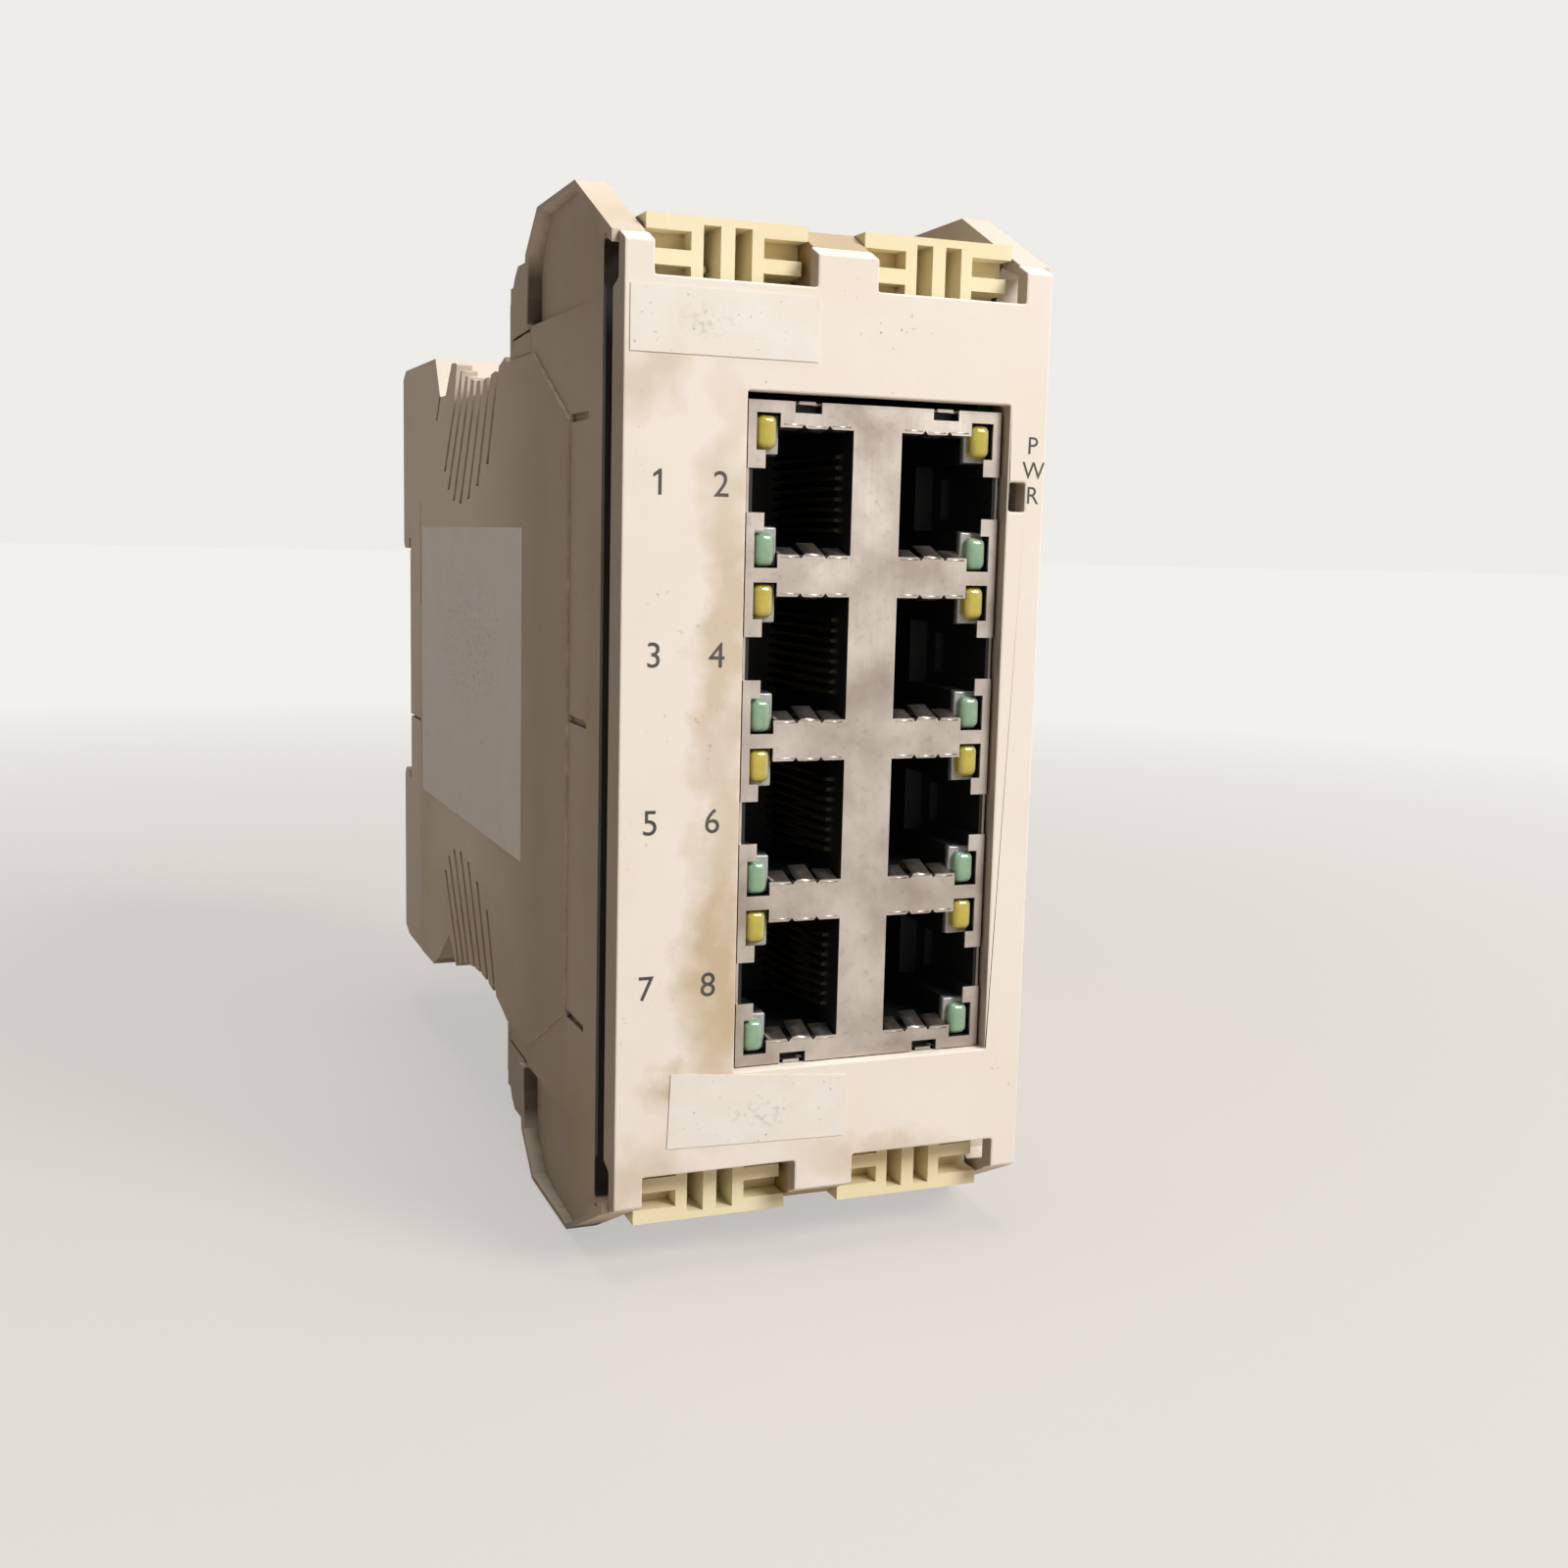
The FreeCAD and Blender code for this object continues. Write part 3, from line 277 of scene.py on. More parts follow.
class SocketLook(bpy.types.PropertyGroup):
    """Colours and sizes of the socket block."""

    sheet: FloatVectorProperty(
        name="Sheet", description="Satin tinned shield", subtype="COLOR",
        default=linear("#D6CCC2"),
    )
    block: FloatVectorProperty(
        name="Block", description="Black socket moulding", subtype="COLOR",
        default=linear("#0C0B0B"),
    )
    wire: FloatVectorProperty(
        name="Wires", description="Plated contact wires", subtype="COLOR",
        default=linear("#C8B89A"),
    )
    yellow: FloatVectorProperty(
        name="Yellow lamp", description="Milky yellow lens", subtype="COLOR",
        default=linear("#CDBB3C"),
    )
    green: FloatVectorProperty(
        name="Green lamp", description="Milky green lens", subtype="COLOR",
        default=linear("#8FB492"),
    )
    clear: FloatVectorProperty(
        name="Lamp collar", description="Clear moulding round a lamp", subtype="COLOR",
        default=linear("#A9AAA8"),
    )
    finger_length: FloatProperty(
        name="Finger length", description="Depth of the bent ground fingers", unit="LENGTH",
        default=2.0 * MM,
    )
    finger_rise: FloatProperty(
        name="Finger rise", description="Rise of a finger to its end", unit="LENGTH",
        default=0.8 * MM,
    )
    pitch: FloatProperty(
        name="Socket pitch", description="Height from socket to socket", unit="LENGTH",
        default=15.875 * MM,
    )
    opening: FloatProperty(
        name="Opening height", description="Height of a plug opening", unit="LENGTH",
        default=11.9 * MM,
    )
    near: FloatProperty(
        name="Opening start", description="Block's middle line to an opening", unit="LENGTH",
        default=2.55 * MM,
    )
    far: FloatProperty(
        name="Opening end", description="Block's middle line to the lamps", unit="LENGTH",
        default=10.1 * MM,
    )


class PrintLook(bpy.types.PropertyGroup):
    """Colours and sizes of print and labels."""

    ink: FloatVectorProperty(
        name="Ink", description="Dark grey print", subtype="COLOR",
        default=linear("#3A3735"),
    )
    paper: FloatVectorProperty(
        name="Labels", description="White front labels", subtype="COLOR",
        default=linear("#EEE8E0"),
    )
    side_paper: FloatVectorProperty(
        name="Side label", description="Side label", subtype="COLOR",
        default=linear("#E4DED6"),
    )
    digit: FloatProperty(
        name="Digit height", description="Height of the port numbers", unit="LENGTH",
        default=2.35 * MM,
    )
    mark: FloatProperty(
        name="Letter height", description="Height of the power mark's letters", unit="LENGTH",
        default=1.65 * MM,
    )


class StageLook(bpy.types.PropertyGroup):
    """Floor, lamps and background."""

    floor: FloatVectorProperty(
        name="Floor", description="Warm floor", subtype="COLOR",
        default=linear("#B9AEA2"),
    )
    pale: FloatVectorProperty(
        name="Background", description="Pale background", subtype="COLOR",
        default=linear("#F4F2EF"),
    )
    key: FloatProperty(name="Key lamp", description="Power of the large lamp", subtype="POWER", default=7.3)
    fill: FloatProperty(name="Fill lamp", description="Power of the fill lamp", subtype="POWER", default=0.10)
    top: FloatProperty(
        name="Top lamp", description="Power of the lamp overhead", subtype="POWER",
        default=4.2,
    )
    sky: FloatProperty(
        name="Room light", description="Strength of the room's even light",
        default=0.09, min=0,
    )


# -------------------------------------------------------------- materials
def moulded_plastic(name, colour, looks, spots=(), grime_and_shade_reach=1.6, dirt_and_shade=1.0, tint="#E2CDA6", gaps=(),
                    side_shade=(-20, -21, 0.0)):
    """Injection moulded ABS, light grey, aged: a dull satin skin with fine spark eroded grain, yellowed in
    patches, with handling stains in spots of (centre, reach, strength), dust, grease and painted shade
    held in corners, and painted shade in boxes of (low, high, strength, colour). side_shade gives the
    painted shade on the sides: two positions on Y, in millimetres, between which it grows, and its strength."""
    material, tree, out = new_material(name)
    coords = put(tree, "ShaderNodeTexCoord").outputs["Object"]
    patches = ramp(tree, noise(tree, coords, 14 * MM), 0.42, 0.75)
    base = colour_mix(tree, times(tree, patches, 0.28), tuple(colour), linear(tint))
    drift = 9 * MM
    cloud = put(tree, "ShaderNodeTexNoise", {"Vector": coords, "Scale": 220.0, "Detail": 4.0}).outputs["Color"]
    moved = put(tree, "ShaderNodeVectorMath", {0: cloud, 1: (drift, drift, drift)}, operation="MULTIPLY")
    wander = put(tree, "ShaderNodeVectorMath", {0: coords, 1: moved.outputs[0]}, operation="ADD").outputs[0]
    for centre, reach, strength in spots:
        middle = tuple(c + drift / 2 for c in centre)
        mask = times(tree, ramp(tree, blot(tree, wander, middle, reach), 0.0, 0.75), strength)
        base = colour_mix(tree, mask, base, tuple(looks.stain))
    specks = ramp(tree, noise(tree, coords, 0.55 * MM, detail=1.0), 0.70, 0.76)
    thick = ramp(tree, noise(tree, coords, 9 * MM), 0.52, 0.70)
    base = colour_mix(tree, times(tree, times(tree, specks, thick), 0.5 * dirt_and_shade), base, tuple(looks.grime_and_shade))
    # dust and painted shade: the dust colour laid, in patches, in the corners that ambient occlusion finds
    shade = put(tree, "ShaderNodeAmbientOcclusion", {"Distance": grime_and_shade_reach * MM}, samples=8).outputs["AO"]
    corners = ramp(tree, shade, 0.75, 0.25)
    patchy = ramp(tree, noise(tree, coords, 2.2 * MM), 0.30, 0.62)
    base = colour_mix(tree, times(tree, times(tree, corners, patchy), 0.85 * dirt_and_shade), base, tuple(looks.grime_and_shade))
    # painted shade: near-black where the occlusion is deepest, in narrow seams and gaps
    base = colour_mix(tree, times(tree, ramp(tree, shade, 0.34, 0.08), 0.97), base, tuple(looks.gap))
    # painted shade: faces turned to either side darkened towards a brown, growing between two positions on Y
    normal = put(tree, "ShaderNodeTexCoord").outputs["Normal"]
    turned = put(tree, "ShaderNodeSeparateXYZ", {"Vector": normal}).outputs[0]
    sideways = ramp(tree, put(tree, "ShaderNodeMath", {0: turned}, operation="ABSOLUTE").outputs[0], 0.7, 0.95)
    depth = put(tree, "ShaderNodeSeparateXYZ", {"Vector": coords}).outputs[1]
    held = times(tree, sideways, ramp(tree, depth, side_shade[0] * MM, side_shade[1] * MM))
    side_shade_colour = linear("#8A7762")
    base = colour_mix(tree, times(tree, held, side_shade[2]), base, side_shade_colour)
    # painted shade laid in each box
    for low, high, strength, box_shade in gaps:
        inside = None
        for axis in range(3):
            band = slab(tree, coords, axis, low[axis] * MM, high[axis] * MM, 0.25 * MM)
            inside = band if inside is None else times(tree, inside, band)
        base = colour_mix(tree, times(tree, inside, strength), base, tuple(box_shade))
    grain = noise(tree, coords, looks.grain, detail=2.0)
    waves = noise(tree, coords, 6 * MM, detail=2.0)
    bump = put(tree, "ShaderNodeBump", {"Height": grain, "Strength": 0.10, "Distance": 0.05 * MM})
    bump = put(tree, "ShaderNodeBump", {
        "Height": waves, "Strength": 0.25, "Distance": 0.1 * MM, "Normal": bump.outputs[0]})
    rough = put(tree, "ShaderNodeMapRange", {"Value": waves, "To Min": 0.58, "To Max": 0.72}).outputs[0]
    # a film of dust takes most of the sheen away
    shader = put(tree, "ShaderNodeBsdfPrincipled", {
        "Base Color": base, "Roughness": rough, "IOR": 1.54, "Specular IOR Level": 0.22,
        "Normal": bump.outputs[0],
    })
    tree.links.new(shader.outputs[0], out.inputs[0])
    return material


def tinned_sheet(looks):
    """Tin plated brass sheet, stamped: a satin grey metal with faint rolling lines along its length and
    small rubs."""
    material, tree, out = new_material("tinned brass sheet")
    coords = put(tree, "ShaderNodeTexCoord").outputs["Object"]
    lines = put(tree, "ShaderNodeMapping", {"Vector": coords, "Scale": (1.0, 1.0, 0.03)}).outputs[0]
    rolled = noise(tree, lines, 0.25 * MM, detail=2.0)
    cloudy = noise(tree, coords, 7 * MM)
    rubs = ramp(tree, noise(tree, coords, 0.8 * MM, detail=5.0), 0.56, 0.72)
    base = colour_mix(tree, ramp(tree, cloudy, 0.3, 0.7), tuple(looks.sheet), linear("#A89B90"))
    base = colour_mix(tree, times(tree, rubs, 0.25), base, linear("#8A7A6A"))
    rough = put(tree, "ShaderNodeMapRange", {"Value": rolled, "To Min": 0.30, "To Max": 0.44}).outputs[0]
    bump = put(tree, "ShaderNodeBump", {"Height": rolled, "Strength": 0.06, "Distance": 0.02 * MM})
    bump = put(tree, "ShaderNodeBump", {
        "Height": cloudy, "Strength": 0.3, "Distance": 0.12 * MM, "Normal": bump.outputs[0]})
    shader = put(tree, "ShaderNodeBsdfPrincipled", {
        "Base Color": base, "Metallic": 1.0, "Roughness": rough, "Normal": bump.outputs[0],
    })
    tree.links.new(shader.outputs[0], out.inputs[0])
    return material


def plain_finish(name, colour, rough, metallic=0.0, grain=0.4, other=None):
    """A moulded, plated or painted finish with fine variation of tone and gloss."""
    material, tree, out = new_material(name)
    coords = put(tree, "ShaderNodeTexCoord").outputs["Object"]
    fine = noise(tree, coords, grain * MM, detail=3.0)
    broad = noise(tree, coords, grain * 9 * MM, detail=3.0)
    tone = tuple(c * 0.8 for c in colour) if other is None else other
    base = colour_mix(tree, ramp(tree, broad, 0.35, 0.7), tuple(colour), tone)
    spread = put(tree, "ShaderNodeMapRange", {"Value": broad, "To Min": rough - 0.06, "To Max": rough + 0.08})
    roughness = spread.outputs[0]
    bump = put(tree, "ShaderNodeBump", {"Height": fine, "Strength": 0.1, "Distance": 0.04 * MM})
    values = {"Base Color": base, "Metallic": metallic, "Roughness": roughness, "Normal": bump.outputs[0]}
    if not metallic:
        values["IOR"] = 1.5
    shader = put(tree, "ShaderNodeBsdfPrincipled", values)
    tree.links.new(shader.outputs[0], out.inputs[0])
    return material


def milky_lens(name, colour, clear):
    """Diffused epoxy lamp lens, cast glossy: a milky coloured core, going greyer and clearer where the
    piece's own attribute says so."""
    material, tree, out = new_material(name)
    coords = put(tree, "ShaderNodeTexCoord").outputs["Object"]
    cloudy = ramp(tree, noise(tree, coords, 1.2 * MM), 0.35, 0.7)
    base = colour_mix(tree, times(tree, cloudy, 0.6), tuple(colour), tuple(c * 0.7 for c in colour))
    thin = put(tree, "ShaderNodeAttribute", attribute_name="clear").outputs["Fac"]
    base = colour_mix(tree, thin, base, tuple(clear))
    shader = put(tree, "ShaderNodeBsdfPrincipled", {
        "Base Color": base, "Roughness": 0.12, "IOR": 1.53, "Subsurface Weight": 0.3,
        "Subsurface Radius": (0.6, 0.6, 0.4), "Subsurface Scale": 0.5 * MM, "Coat Weight": 0.6,
    })
    tree.links.new(shader.outputs[0], out.inputs[0])
    return material


def label_paper(name, colour, looks, smudge, reach):
    """Coated label stock, printed once and now worn nearly bare: matt, slightly wrinkled, soiled at its rim."""
    material, tree, out = new_material(name)
    coords = put(tree, "ShaderNodeTexCoord").outputs["Object"]
    patches = ramp(tree, noise(tree, coords, 5 * MM), 0.4, 0.75)
    base = colour_mix(tree, times(tree, patches, 0.3), tuple(colour), linear("#DCCDB6"))
    worn = times(tree, ramp(tree, blot(tree, coords, smudge, reach), 0.0, 0.6),
                 ramp(tree, noise(tree, coords, 0.7 * MM, detail=4.0), 0.50, 0.66))
    base = colour_mix(tree, times(tree, worn, 0.35), base, linear("#8E8A86"))
    specks = ramp(tree, noise(tree, coords, 0.5 * MM, detail=1.0), 0.72, 0.78)
    base = colour_mix(tree, times(tree, specks, 0.4), base, tuple(looks.grime_and_shade))
    creases = noise(tree, coords, 3 * MM, detail=4.0)
    bump = put(tree, "ShaderNodeBump", {"Height": creases, "Strength": 0.4, "Distance": 0.12 * MM})
    shader = put(tree, "ShaderNodeBsdfPrincipled", {
        "Base Color": base, "Roughness": 0.62, "IOR": 1.5, "Normal": bump.outputs[0],
    })
    tree.links.new(shader.outputs[0], out.inputs[0])
    return material


# -------------------------------------------------------------- operators
class SWITCH_OT_face_plate(bpy.types.Operator):
    """Rounds and finishes the face plate."""

    bl_idname = "rail_switch.face_plate"
    bl_label = "Face plate"

    def execute(self, context):
        looks = context.scene.rail_mouldings
        spots = (
            ((-0.0115, FACE_Y, 0.010), (0.0035, 0.03, 0.028), 0.55),
            ((-0.0115, FACE_Y, -0.022), (0.0050, 0.03, 0.020), 0.75),
            ((-0.0135, FACE_Y, -0.0345), (0.0070, 0.03, 0.0030), 0.85),
            ((-0.0190, FACE_Y, -0.0430), (0.0060, 0.03, 0.0050), 0.45),
            ((-0.0200, FACE_Y, 0.0330), (0.0050, 0.03, 0.0040), 0.40),
            ((0.0050, FACE_Y, -0.0425), (0.0120, 0.03, 0.0030), 0.40),
        )
        material = moulded_plastic(
            "aged ABS face plate", looks.face, looks, spots, grime_and_shade_reach=1.2, tint="#E6D6BC",
            side_shade=(-20, -21, 0.7))
        rounded_copy("front_plate", "switch", "face_plastic", material, looks.corner)
        return {"FINISHED"}


class SWITCH_OT_housing(bpy.types.Operator):
    """Rounds and finishes the two housing halves and the latch."""

    bl_idname = "rail_switch.housing"
    bl_label = "Housing"

    def execute(self, context):
        looks = context.scene.rail_mouldings
        hood_spots = (
            ((-0.022, -0.095, -0.042), (0.02, 0.020, 0.012), 0.6),
            ((-0.022, -0.095, 0.044), (0.02, 0.020, 0.010), 0.5),
            ((-0.022, -0.099, 0.0), (0.02, 0.006, 0.040), 0.35),
        )
        rear_spots = (
            ((-0.022, -0.074, 0.004), (0.02, 0.010, 0.036), 0.3),
            ((-0.022, -0.010, -0.02), (0.02, 0.014, 0.030), 0.4),
            ((-0.022, -0.040, -0.032), (0.02, 0.030, 0.010), 0.5),
        )
        bay_shade = linear("#A98A55")
        brown = linear("#4A3B2E")
        # painted shade: ochre in the terminal bays above and below, near-black in the slit behind the plate's
        # left flange
        hood_gaps = [
            ((-19, -106, 36), (19, -90, 50), 0.6, bay_shade),
            ((-19, -106, -50), (19, -90, -36), 0.8, bay_shade),
            ((-24, -103.3, -46.0), (-17, -100.35, 46.0), 0.97, tuple(looks.gap)),
        ]
        # painted shade in the step at the rear end of each heel
        for low, high in ((41.3, 50), (-50, -41.3)):
            hood_gaps.append(((-22.2, -72.6, low), (-19.5, -71.4, high), 0.85, brown))
        hood = moulded_plastic(
            "aged ABS hood", looks.housing, looks, hood_spots, grime_and_shade_reach=2.4, gaps=hood_gaps,
            side_shade=(-20, -21, 0.5))
        rear = moulded_plastic(
            "aged ABS rear housing", looks.housing, looks, rear_spots, grime_and_shade_reach=2.0, side_shade=(-42, -78, 0.6))
        latch = moulded_plastic("aged ABS latch", looks.housing, looks, (), grime_and_shade_reach=2.0)
        rounded_copy("front_hood", "switch", "housing_plastic", hood, looks.corner)
        rounded_copy("rear_housing", "switch", "housing_plastic", rear, looks.corner)
        rounded_copy("rail_latch", "latch", "housing_plastic", latch, looks.corner)
        return {"FINISHED"}


class SWITCH_OT_filler_plugs(bpy.types.Operator):
    """Rounds and finishes the four filler plugs."""

    bl_idname = "rail_switch.filler_plugs"
    bl_label = "Filler plugs"

    def execute(self, context):
        looks = context.scene.rail_mouldings
        material = moulded_plastic(
            "yellowed ABS filler plug", looks.plug, looks, (), grime_and_shade_reach=1.3, dirt_and_shade=0.5, tint="#E6CF86")
        for place in ("top_left", "top_right", "bottom_left", "bottom_right"):
            rounded_copy("filler_plug_" + place, "switch", "filler_plastic", material, looks.corner * 0.7)
        return {"FINISHED"}


class SWITCH_OT_port_shield(bpy.types.Operator):
    """Finishes the tinned shield and adds its bent ground fingers."""

    bl_idname = "rail_switch.port_shield"
    bl_label = "Port shield"

    def execute(self, context):
        looks = context.scene.rail_sockets
        material = tinned_sheet(looks)
        dress("port_shield", material)
        low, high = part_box("port_shield")
        middle = (low + high) / 2
        front = low.y - 0.03 * MM
        edge = looks.opening / 2
        step = (looks.far - looks.near) / 3
        bm = bmesh.new()
        for turn in (-1, 1):
            for row in (1.5, 0.5, -0.5, -1.5):
                for strip in range(3):
                    start = middle.x + turn * (looks.near + step * strip + 0.3 * MM)
                    end = start + turn * (step - 0.6 * MM)
                    centre = middle.z + looks.pitch * row
                    inner = strip == 1
                    lift = (0.22 if inner else 0.05) * MM
                    length = looks.finger_length * (1.15 if inner else 1)
                    rise = looks.finger_rise * (1.15 if inner else 0.8)
                    folded_strip(bm, start, end, front, centre - edge + lift, 1, length, rise)
                    drop = (0.12 if inner else 0.02) * MM
                    folded_strip(bm, start, end, front, centre + edge - drop, -1,
                                 looks.finger_length * 0.6, looks.finger_rise * 0.2)
        bmesh.ops.recalc_face_normals(bm, faces=bm.faces)
        bmesh.ops.solidify(bm, geom=bm.faces[:], thickness=0.2 * MM)
        bmesh.ops.recalc_face_normals(bm, faces=bm.faces)
        mesh = bpy.data.meshes.new("ground_fingers")
        bm.to_mesh(mesh)
        bm.free()
        mesh.materials.append(material)
        for face in mesh.polygons:
            face.use_smooth = True
        finished("ground_fingers", mesh, "switch", "tinned_sheet")
        return {"FINISHED"}


class SWITCH_OT_sockets(bpy.types.Operator):
    """Finishes the black socket block and its contact wires."""

    bl_idname = "rail_switch.sockets"
    bl_label = "Sockets"

    def execute(self, context):
        looks = context.scene.rail_sockets
        block = plain_finish("black glass filled PBT", looks.block, 0.5, grain=0.5)
        wire = plain_finish(
            "gold flashed phosphor bronze", looks.wire, 0.3, metallic=1.0, grain=0.3, other=linear("#B39B6E"))
        dress("port_insulator", block)
        for number in range(1, 9):
            dress("port_%d_contacts" % number, wire)
        return {"FINISHED"}


class SWITCH_OT_lamps(bpy.types.Operator):
    """Finishes the socket lamps and the power lamp."""

    bl_idname = "rail_switch.lamps"
    bl_label = "Lamps"

    def execute(self, context):
        looks = context.scene.rail_sockets
        collar = milky_lens("clear lamp collar", looks.clear, looks.clear)
        middle = (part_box("port_shield")[0].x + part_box("port_shield")[1].x) / 2
        for colour, up in (("yellow", 1), ("green", -1)):
            epoxy = milky_lens(colour + " diffused epoxy", getattr(looks, colour), looks.clear)
            for number in range(1, 9):
                node = "%s_lamp_%d" % (colour, number)
                low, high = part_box(node)
                inner = 1 if high.x < middle else -1
                aside, above = 0.32 * MM, 0.45 * MM
                body_low = low + Vector((aside if inner < 0 else 0, 0, above if up > 0 else 0))
                body_high = high - Vector((aside if inner > 0 else 0, 0, above if up < 0 else 0))
                bm = bmesh.new()
                clearness = bm.verts.layers.float.new("clear")
                for vert in lens(bm, body_low, body_high, 0.8 * MM):
                    across = (vert.co.x - body_low.x) / (body_high.x - body_low.x)
                    vert[clearness] = min(1.0, max(0.0, (across - 0.62) / 0.38)) * 0.75
                bm.faces.ensure_lookup_table()
                cast = len(bm.faces)
                collar_front, collar_back = low.y + 0.95 * MM, low.y + 1.75 * MM
                lens(bm, Vector((low.x, collar_front, low.z)), Vector((high.x, collar_back, high.z)), 0.2 * MM)
                bm.faces.ensure_lookup_table()
                for face in bm.faces[cast:]:
                    face.material_index = 1
                mesh = bpy.data.meshes.new(node + "_lens")
                bm.to_mesh(mesh)
                bm.free()
                mesh.materials.append(epoxy)
                mesh.materials.append(collar)
                for face in mesh.polygons:
                    face.use_smooth = True
                finished(node + "_lens", mesh, "switch", colour + "_lens", node)
        dress("power_lamp", milky_lens("clear light guide", linear("#B9B4AA"), linear("#B9B4AA")))
        return {"FINISHED"}


def stroke_mesh(context, text):
    """The flat mesh of one printed letter or figure."""
    if text == "1":
        curve = bpy.data.curves.new("mark", "CURVE")
        curve.dimensions = "2D"
        curve.fill_mode = "BOTH"
        outline = FLAGGED_ONE
        spline = curve.splines.new("POLY")
        spline.points.add(len(outline) - 1)
        for point, (x, y) in zip(spline.points, outline):
            point.co = (x, y, 0, 1)
        spline.use_cyclic_u = True
    else:
        curve = bpy.data.curves.new("mark", "FONT")
        curve.body = text
        curve.size = 0.01
    curve.extrude = 0.00002
    shown = bpy.data.objects.new("mark", curve)
    context.scene.collection.objects.link(shown)
    context.view_layer.update()
    mesh = bpy.data.meshes.new_from_object(shown.evaluated_get(context.evaluated_depsgraph_get()))
    bpy.data.objects.remove(shown)
    bpy.data.curves.remove(curve)
    return mesh


class SWITCH_OT_print(bpy.types.Operator):
    """Prints the port numbers and the power mark."""

    bl_idname = "rail_switch.print"
    bl_label = "Print"

    def execute(self, context):
        looks = context.scene.rail_print
        ink = plain_finish("screen printed ink", looks.ink, 0.5, grain=0.3, other=linear("#57524E"))
        columns = (-18.5, -12.3)
        rows = (23.94, 8.08, -7.68, -23.6)
        lean = 0.13
        marks = []
        for row, z in enumerate(rows):
            for column, x in enumerate(columns):
                marks.append((str(2 * row + column + 1), x - lean * row, z, looks.digit))
        for letter, x, z in zip("PWR", (20.42, 20.55, 20.62), (28.78, 26.35, 23.92)):
            marks.append((letter, x, z, looks.mark))
        whole = bmesh.new()
        for text, x, z, height in marks:
            mesh = stroke_mesh(context, text)
            xs = [v.co.x for v in mesh.vertices]
            ys = [v.co.y for v in mesh.vertices]
            scale = height / (max(ys) - min(ys))
            middle = Vector(((max(xs) + min(xs)) / 2, (max(ys) + min(ys)) / 2, 0))
            mesh.transform(Matrix.Translation(-middle))
            mesh.transform(Matrix.Diagonal((scale, scale, 1, 1)))
            mesh.transform(Matrix.Rotation(math.radians(90), 4, "X"))
            mesh.transform(Matrix.Translation((x * MM, FACE_Y, z * MM)))
            whole.from_mesh(mesh)
            bpy.data.meshes.remove(mesh)
        printed = bpy.data.meshes.new("port_numbers")
        whole.to_mesh(printed)
        whole.free()
        printed.materials.append(ink)
        finished("port_numbers", printed, "switch", "face_plastic")
        return {"FINISHED"}


class SWITCH_OT_labels(bpy.types.Operator):
    """Finishes the three labels."""

    bl_idname = "rail_switch.labels"
    bl_label = "Labels"

    def execute(self, context):
        looks = context.scene.rail_print
        grime_and_shade = context.scene.rail_mouldings
        upper = label_paper(
            "coated label upper", looks.paper, grime_and_shade, (-0.0140, FACE_Y, 0.0385), (0.003, 0.02, 0.002))
        lower = label_paper(
            "coated label lower", looks.paper, grime_and_shade, (-0.0070, FACE_Y, -0.0370), (0.004, 0.02, 0.002))
        side = label_paper(
            "coated label side", looks.side_paper, grime_and_shade, (-0.0222, -0.040, 0.0050), (0.02, 0.024, 0.012))
        dress("label_upper", upper)
        dress("label_lower", lower)
        dress("label_side", side)
        return {"FINISHED"}


class SWITCH_OT_insides(bpy.types.Operator):
    """Finishes the boards, the parts on them, the supply terminal and the latch spring."""

    bl_idname = "rail_switch.insides"
    bl_label = "Insides"

    def execute(self, context):
        board = plain_finish(
            "solder mask on glass fibre", linear("#1D5A34"), 0.35, grain=0.6, other=linear("#174A2B"))
        package = plain_finish("moulded epoxy package", linear("#1C1C1E"), 0.5, grain=0.3)
        can = plain_finish("drawn aluminium can", linear("#B9BBBD"), 0.3, metallic=1.0, grain=0.5)
        fuse = plain_finish("glazed fuse body", linear("#D8CFBE"), 0.25, grain=0.5)
        terminal = plain_finish("moulded terminal block", linear("#2D6B45"), 0.45, grain=0.4)
        screw = plain_finish("zinc plated screw", linear("#A9A8A6"), 0.35, metallic=1.0, grain=0.4)
        spring = plain_finish("drawn spring steel", linear("#9A9A9C"), 0.3, metallic=1.0, grain=0.4)
        finishes = {
            board: ("main_board", "power_board"),
            package: (
                "switch_chip", "magnetics_1", "magnetics_2", "magnetics_3", "magnetics_4", "config_memory",
                "logic_regulator", "bridge_rectifier", "power_transformer", "input_choke", "link_socket",
                "link_header",
            ),
            can: ("crystal", "input_capacitor", "output_capacitor"),
            fuse: ("input_fuse",),
            terminal: ("power_terminal",),
            screw: ("terminal_screws",),
            spring: ("latch_spring",),
        }
        for material, nodes in finishes.items():
            for node in nodes:
                dress(node, material)
        return {"FINISHED"}


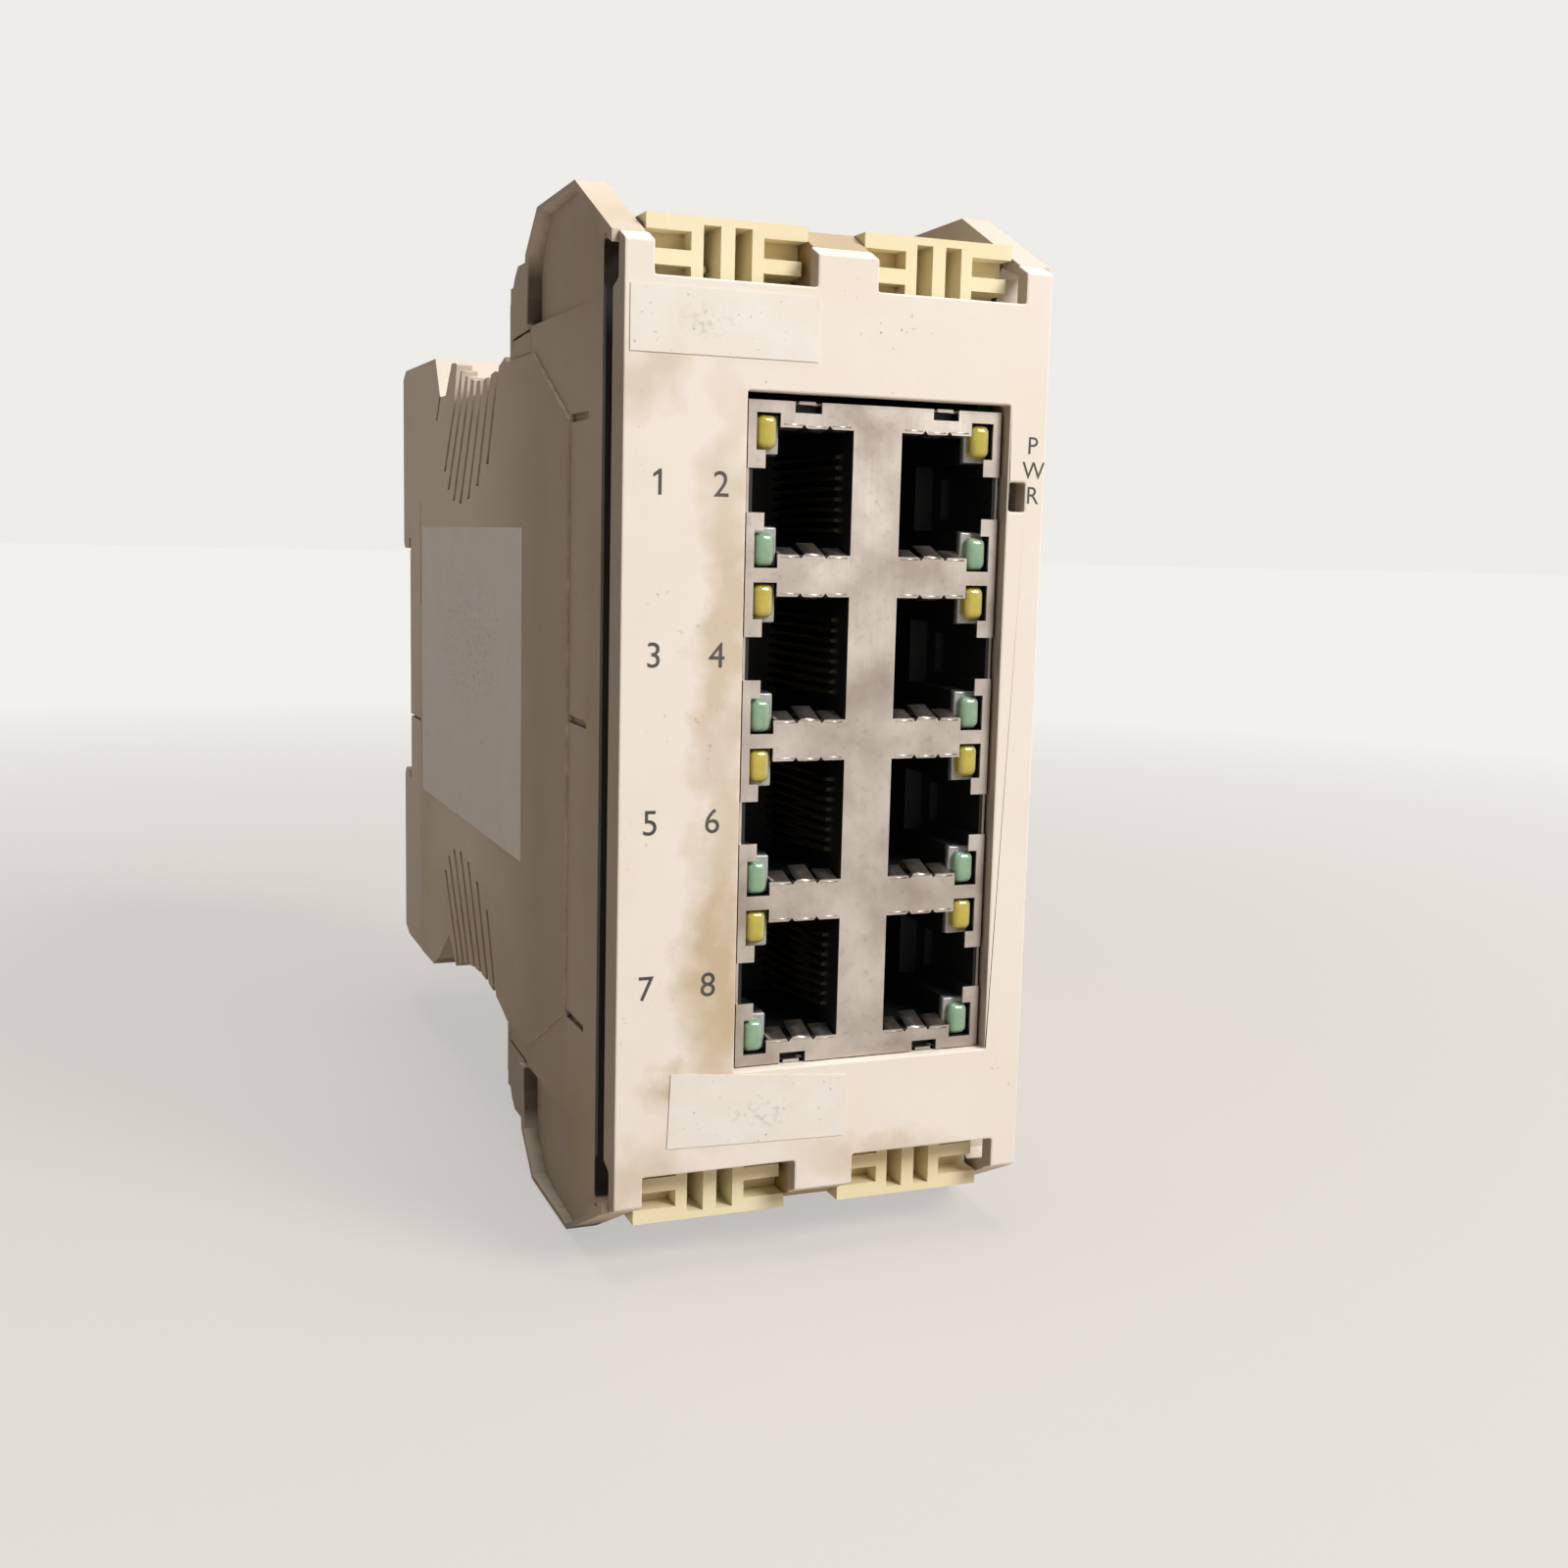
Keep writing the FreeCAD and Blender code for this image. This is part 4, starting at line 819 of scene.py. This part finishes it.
class SWITCH_OT_stage(bpy.types.Operator):
    """Builds the floor, the lamps, the room and the camera."""

    bl_idname = "rail_switch.stage"
    bl_label = "Stage"

    def execute(self, context):
        looks = context.scene.rail_stage
        scene = context.scene
        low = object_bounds()[0].z
        bm = bmesh.new()
        bmesh.ops.create_grid(bm, x_segments=1, y_segments=1, size=6.0)
        bmesh.ops.translate(bm, verts=bm.verts, vec=(0, 0, low - 0.0002))
        mesh = bpy.data.meshes.new("floor")
        bm.to_mesh(mesh)
        bm.free()
        material, tree, out = new_material("pale studio floor")
        coords = put(tree, "ShaderNodeTexCoord").outputs["Object"]
        cloudy = noise(tree, coords, 0.3)
        base = colour_mix(tree, cloudy, tuple(looks.floor), tuple(c * 0.96 for c in looks.floor))
        shader = put(tree, "ShaderNodeBsdfPrincipled", {"Base Color": base, "Roughness": 0.7})
        pale = put(tree, "ShaderNodeEmission", {"Color": tuple(looks.pale), "Strength": 1.0})
        away = put(tree, "ShaderNodeVectorMath", {0: coords}, operation="LENGTH").outputs["Value"]
        path = put(tree, "ShaderNodeLightPath")
        seen = most(tree, path.outputs["Is Camera Ray"], path.outputs["Is Glossy Ray"])
        share = put(tree, "ShaderNodeMapRange", {
            "Value": away, "From Min": 0.10, "From Max": 0.50, "To Min": 0.55, "To Max": 0.98}).outputs[0]
        mixed = times(tree, seen, share)
        shown = put(tree, "ShaderNodeMixShader", {0: mixed, 1: shader.outputs[0], 2: pale.outputs[0]})
        tree.links.new(shown.outputs[0], out.inputs[0])
        mesh.materials.append(material)
        floor = bpy.data.objects.new("floor", mesh)
        scene.collection.objects.link(floor)
        floor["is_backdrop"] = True

        world = bpy.data.worlds.new("room")
        scene.world = world
        world.use_nodes = True
        tree = world.node_tree
        tree.nodes.clear()
        path = put(tree, "ShaderNodeLightPath")
        seen = most(tree, path.outputs["Is Camera Ray"], most(
            tree, path.outputs["Is Glossy Ray"], path.outputs["Is Transmission Ray"]))
        strength = put(tree, "ShaderNodeMapRange", {
            "Value": seen, "To Min": looks.sky, "To Max": 0.95}).outputs[0]
        tone = colour_mix(tree, seen, linear("#F2DCC8"), tuple(looks.pale))
        light = put(tree, "ShaderNodeBackground", {"Color": tone, "Strength": strength})
        last = tree.nodes.new("ShaderNodeOutputWorld")
        tree.links.new(light.outputs[0], last.inputs[0])

        # name, place, diameter and power
        lamps = (
            ("key_lamp", (0.40, -0.66, 0.52), 0.40, looks.key),
            ("fill_lamp", (-0.55, -0.70, 0.25), 0.50, looks.fill),
            ("top_lamp", (0.02, -0.12, 0.90), 0.50, looks.top),
        )
        for name, place, size, power in lamps:
            lamp = bpy.data.lights.new(name, "AREA")
            lamp.shape = "DISK"
            lamp.size = size
            lamp.energy = power
            held = bpy.data.objects.new(name, lamp)
            held.location = place
            held.rotation_mode = "QUATERNION"
            held.rotation_quaternion = (Vector((0, -0.06, 0)) - Vector(place)).to_track_quat("-Z", "Y")
            scene.collection.objects.link(held)

        optics = bpy.data.cameras.new("camera")
        optics.sensor_width = 36.0
        optics.lens = 40.67
        optics.clip_start = 0.01
        optics.clip_end = 30.0
        held = bpy.data.objects.new("camera", optics)
        right = Vector((0.92859, -0.37030, 0.02451))
        up = Vector((0.02807, 0.13595, 0.99032))
        back = right.cross(up)
        turn = Matrix((right, up, back)).transposed()
        eye = (-0.06842, -0.26373, 0.01897)
        held.matrix_world = Matrix.Translation(eye) @ turn.to_4x4()
        scene.collection.objects.link(held)
        scene.camera = held
        scene.view_settings.view_transform = "Standard"
        return {"FINISHED"}


class SWITCH_PT_sidebar(bpy.types.Panel):
    """Lists the looks and the pieces."""

    bl_idname = "SWITCH_PT_sidebar"
    bl_label = "Rail Switch"
    bl_space_type = "VIEW_3D"
    bl_region_type = "UI"
    bl_category = "Rail Switch"

    def draw(self, context):
        column = self.layout.column(align=True)
        for operator in OPERATORS:
            column.operator(operator.bl_idname)
        for name in LOOKS:
            group = getattr(context.scene, name)
            box = self.layout.box()
            for key in group.bl_rna.properties.keys():
                if key not in ("rna_type", "name"):
                    box.prop(group, key)


LOOKS = {
    "rail_mouldings": MouldingLook,
    "rail_sockets": SocketLook,
    "rail_print": PrintLook,
    "rail_stage": StageLook,
}
OPERATORS = (
    SWITCH_OT_face_plate,
    SWITCH_OT_housing,
    SWITCH_OT_filler_plugs,
    SWITCH_OT_port_shield,
    SWITCH_OT_sockets,
    SWITCH_OT_lamps,
    SWITCH_OT_print,
    SWITCH_OT_labels,
    SWITCH_OT_insides,
    SWITCH_OT_stage,
)


def register():
    """Registers the settings, the operators and the panel."""
    for name, group in LOOKS.items():
        bpy.utils.register_class(group)
        setattr(bpy.types.Scene, name, PointerProperty(type=group))
    for operator in OPERATORS:
        bpy.utils.register_class(operator)
    bpy.utils.register_class(SWITCH_PT_sidebar)


def unregister():
    """Takes the panel, the operators and the settings away again."""
    bpy.utils.unregister_class(SWITCH_PT_sidebar)
    for operator in reversed(OPERATORS):
        bpy.utils.unregister_class(operator)
    for name, group in LOOKS.items():
        delattr(bpy.types.Scene, name)
        bpy.utils.unregister_class(group)


def main():
    """Registers the settings, the operators and the panel, and runs every operator."""
    register()
    for operator in OPERATORS:
        family, action = operator.bl_idname.split(".")
        getattr(getattr(bpy.ops, family), action)()


if __name__ == "__main__":
    main()
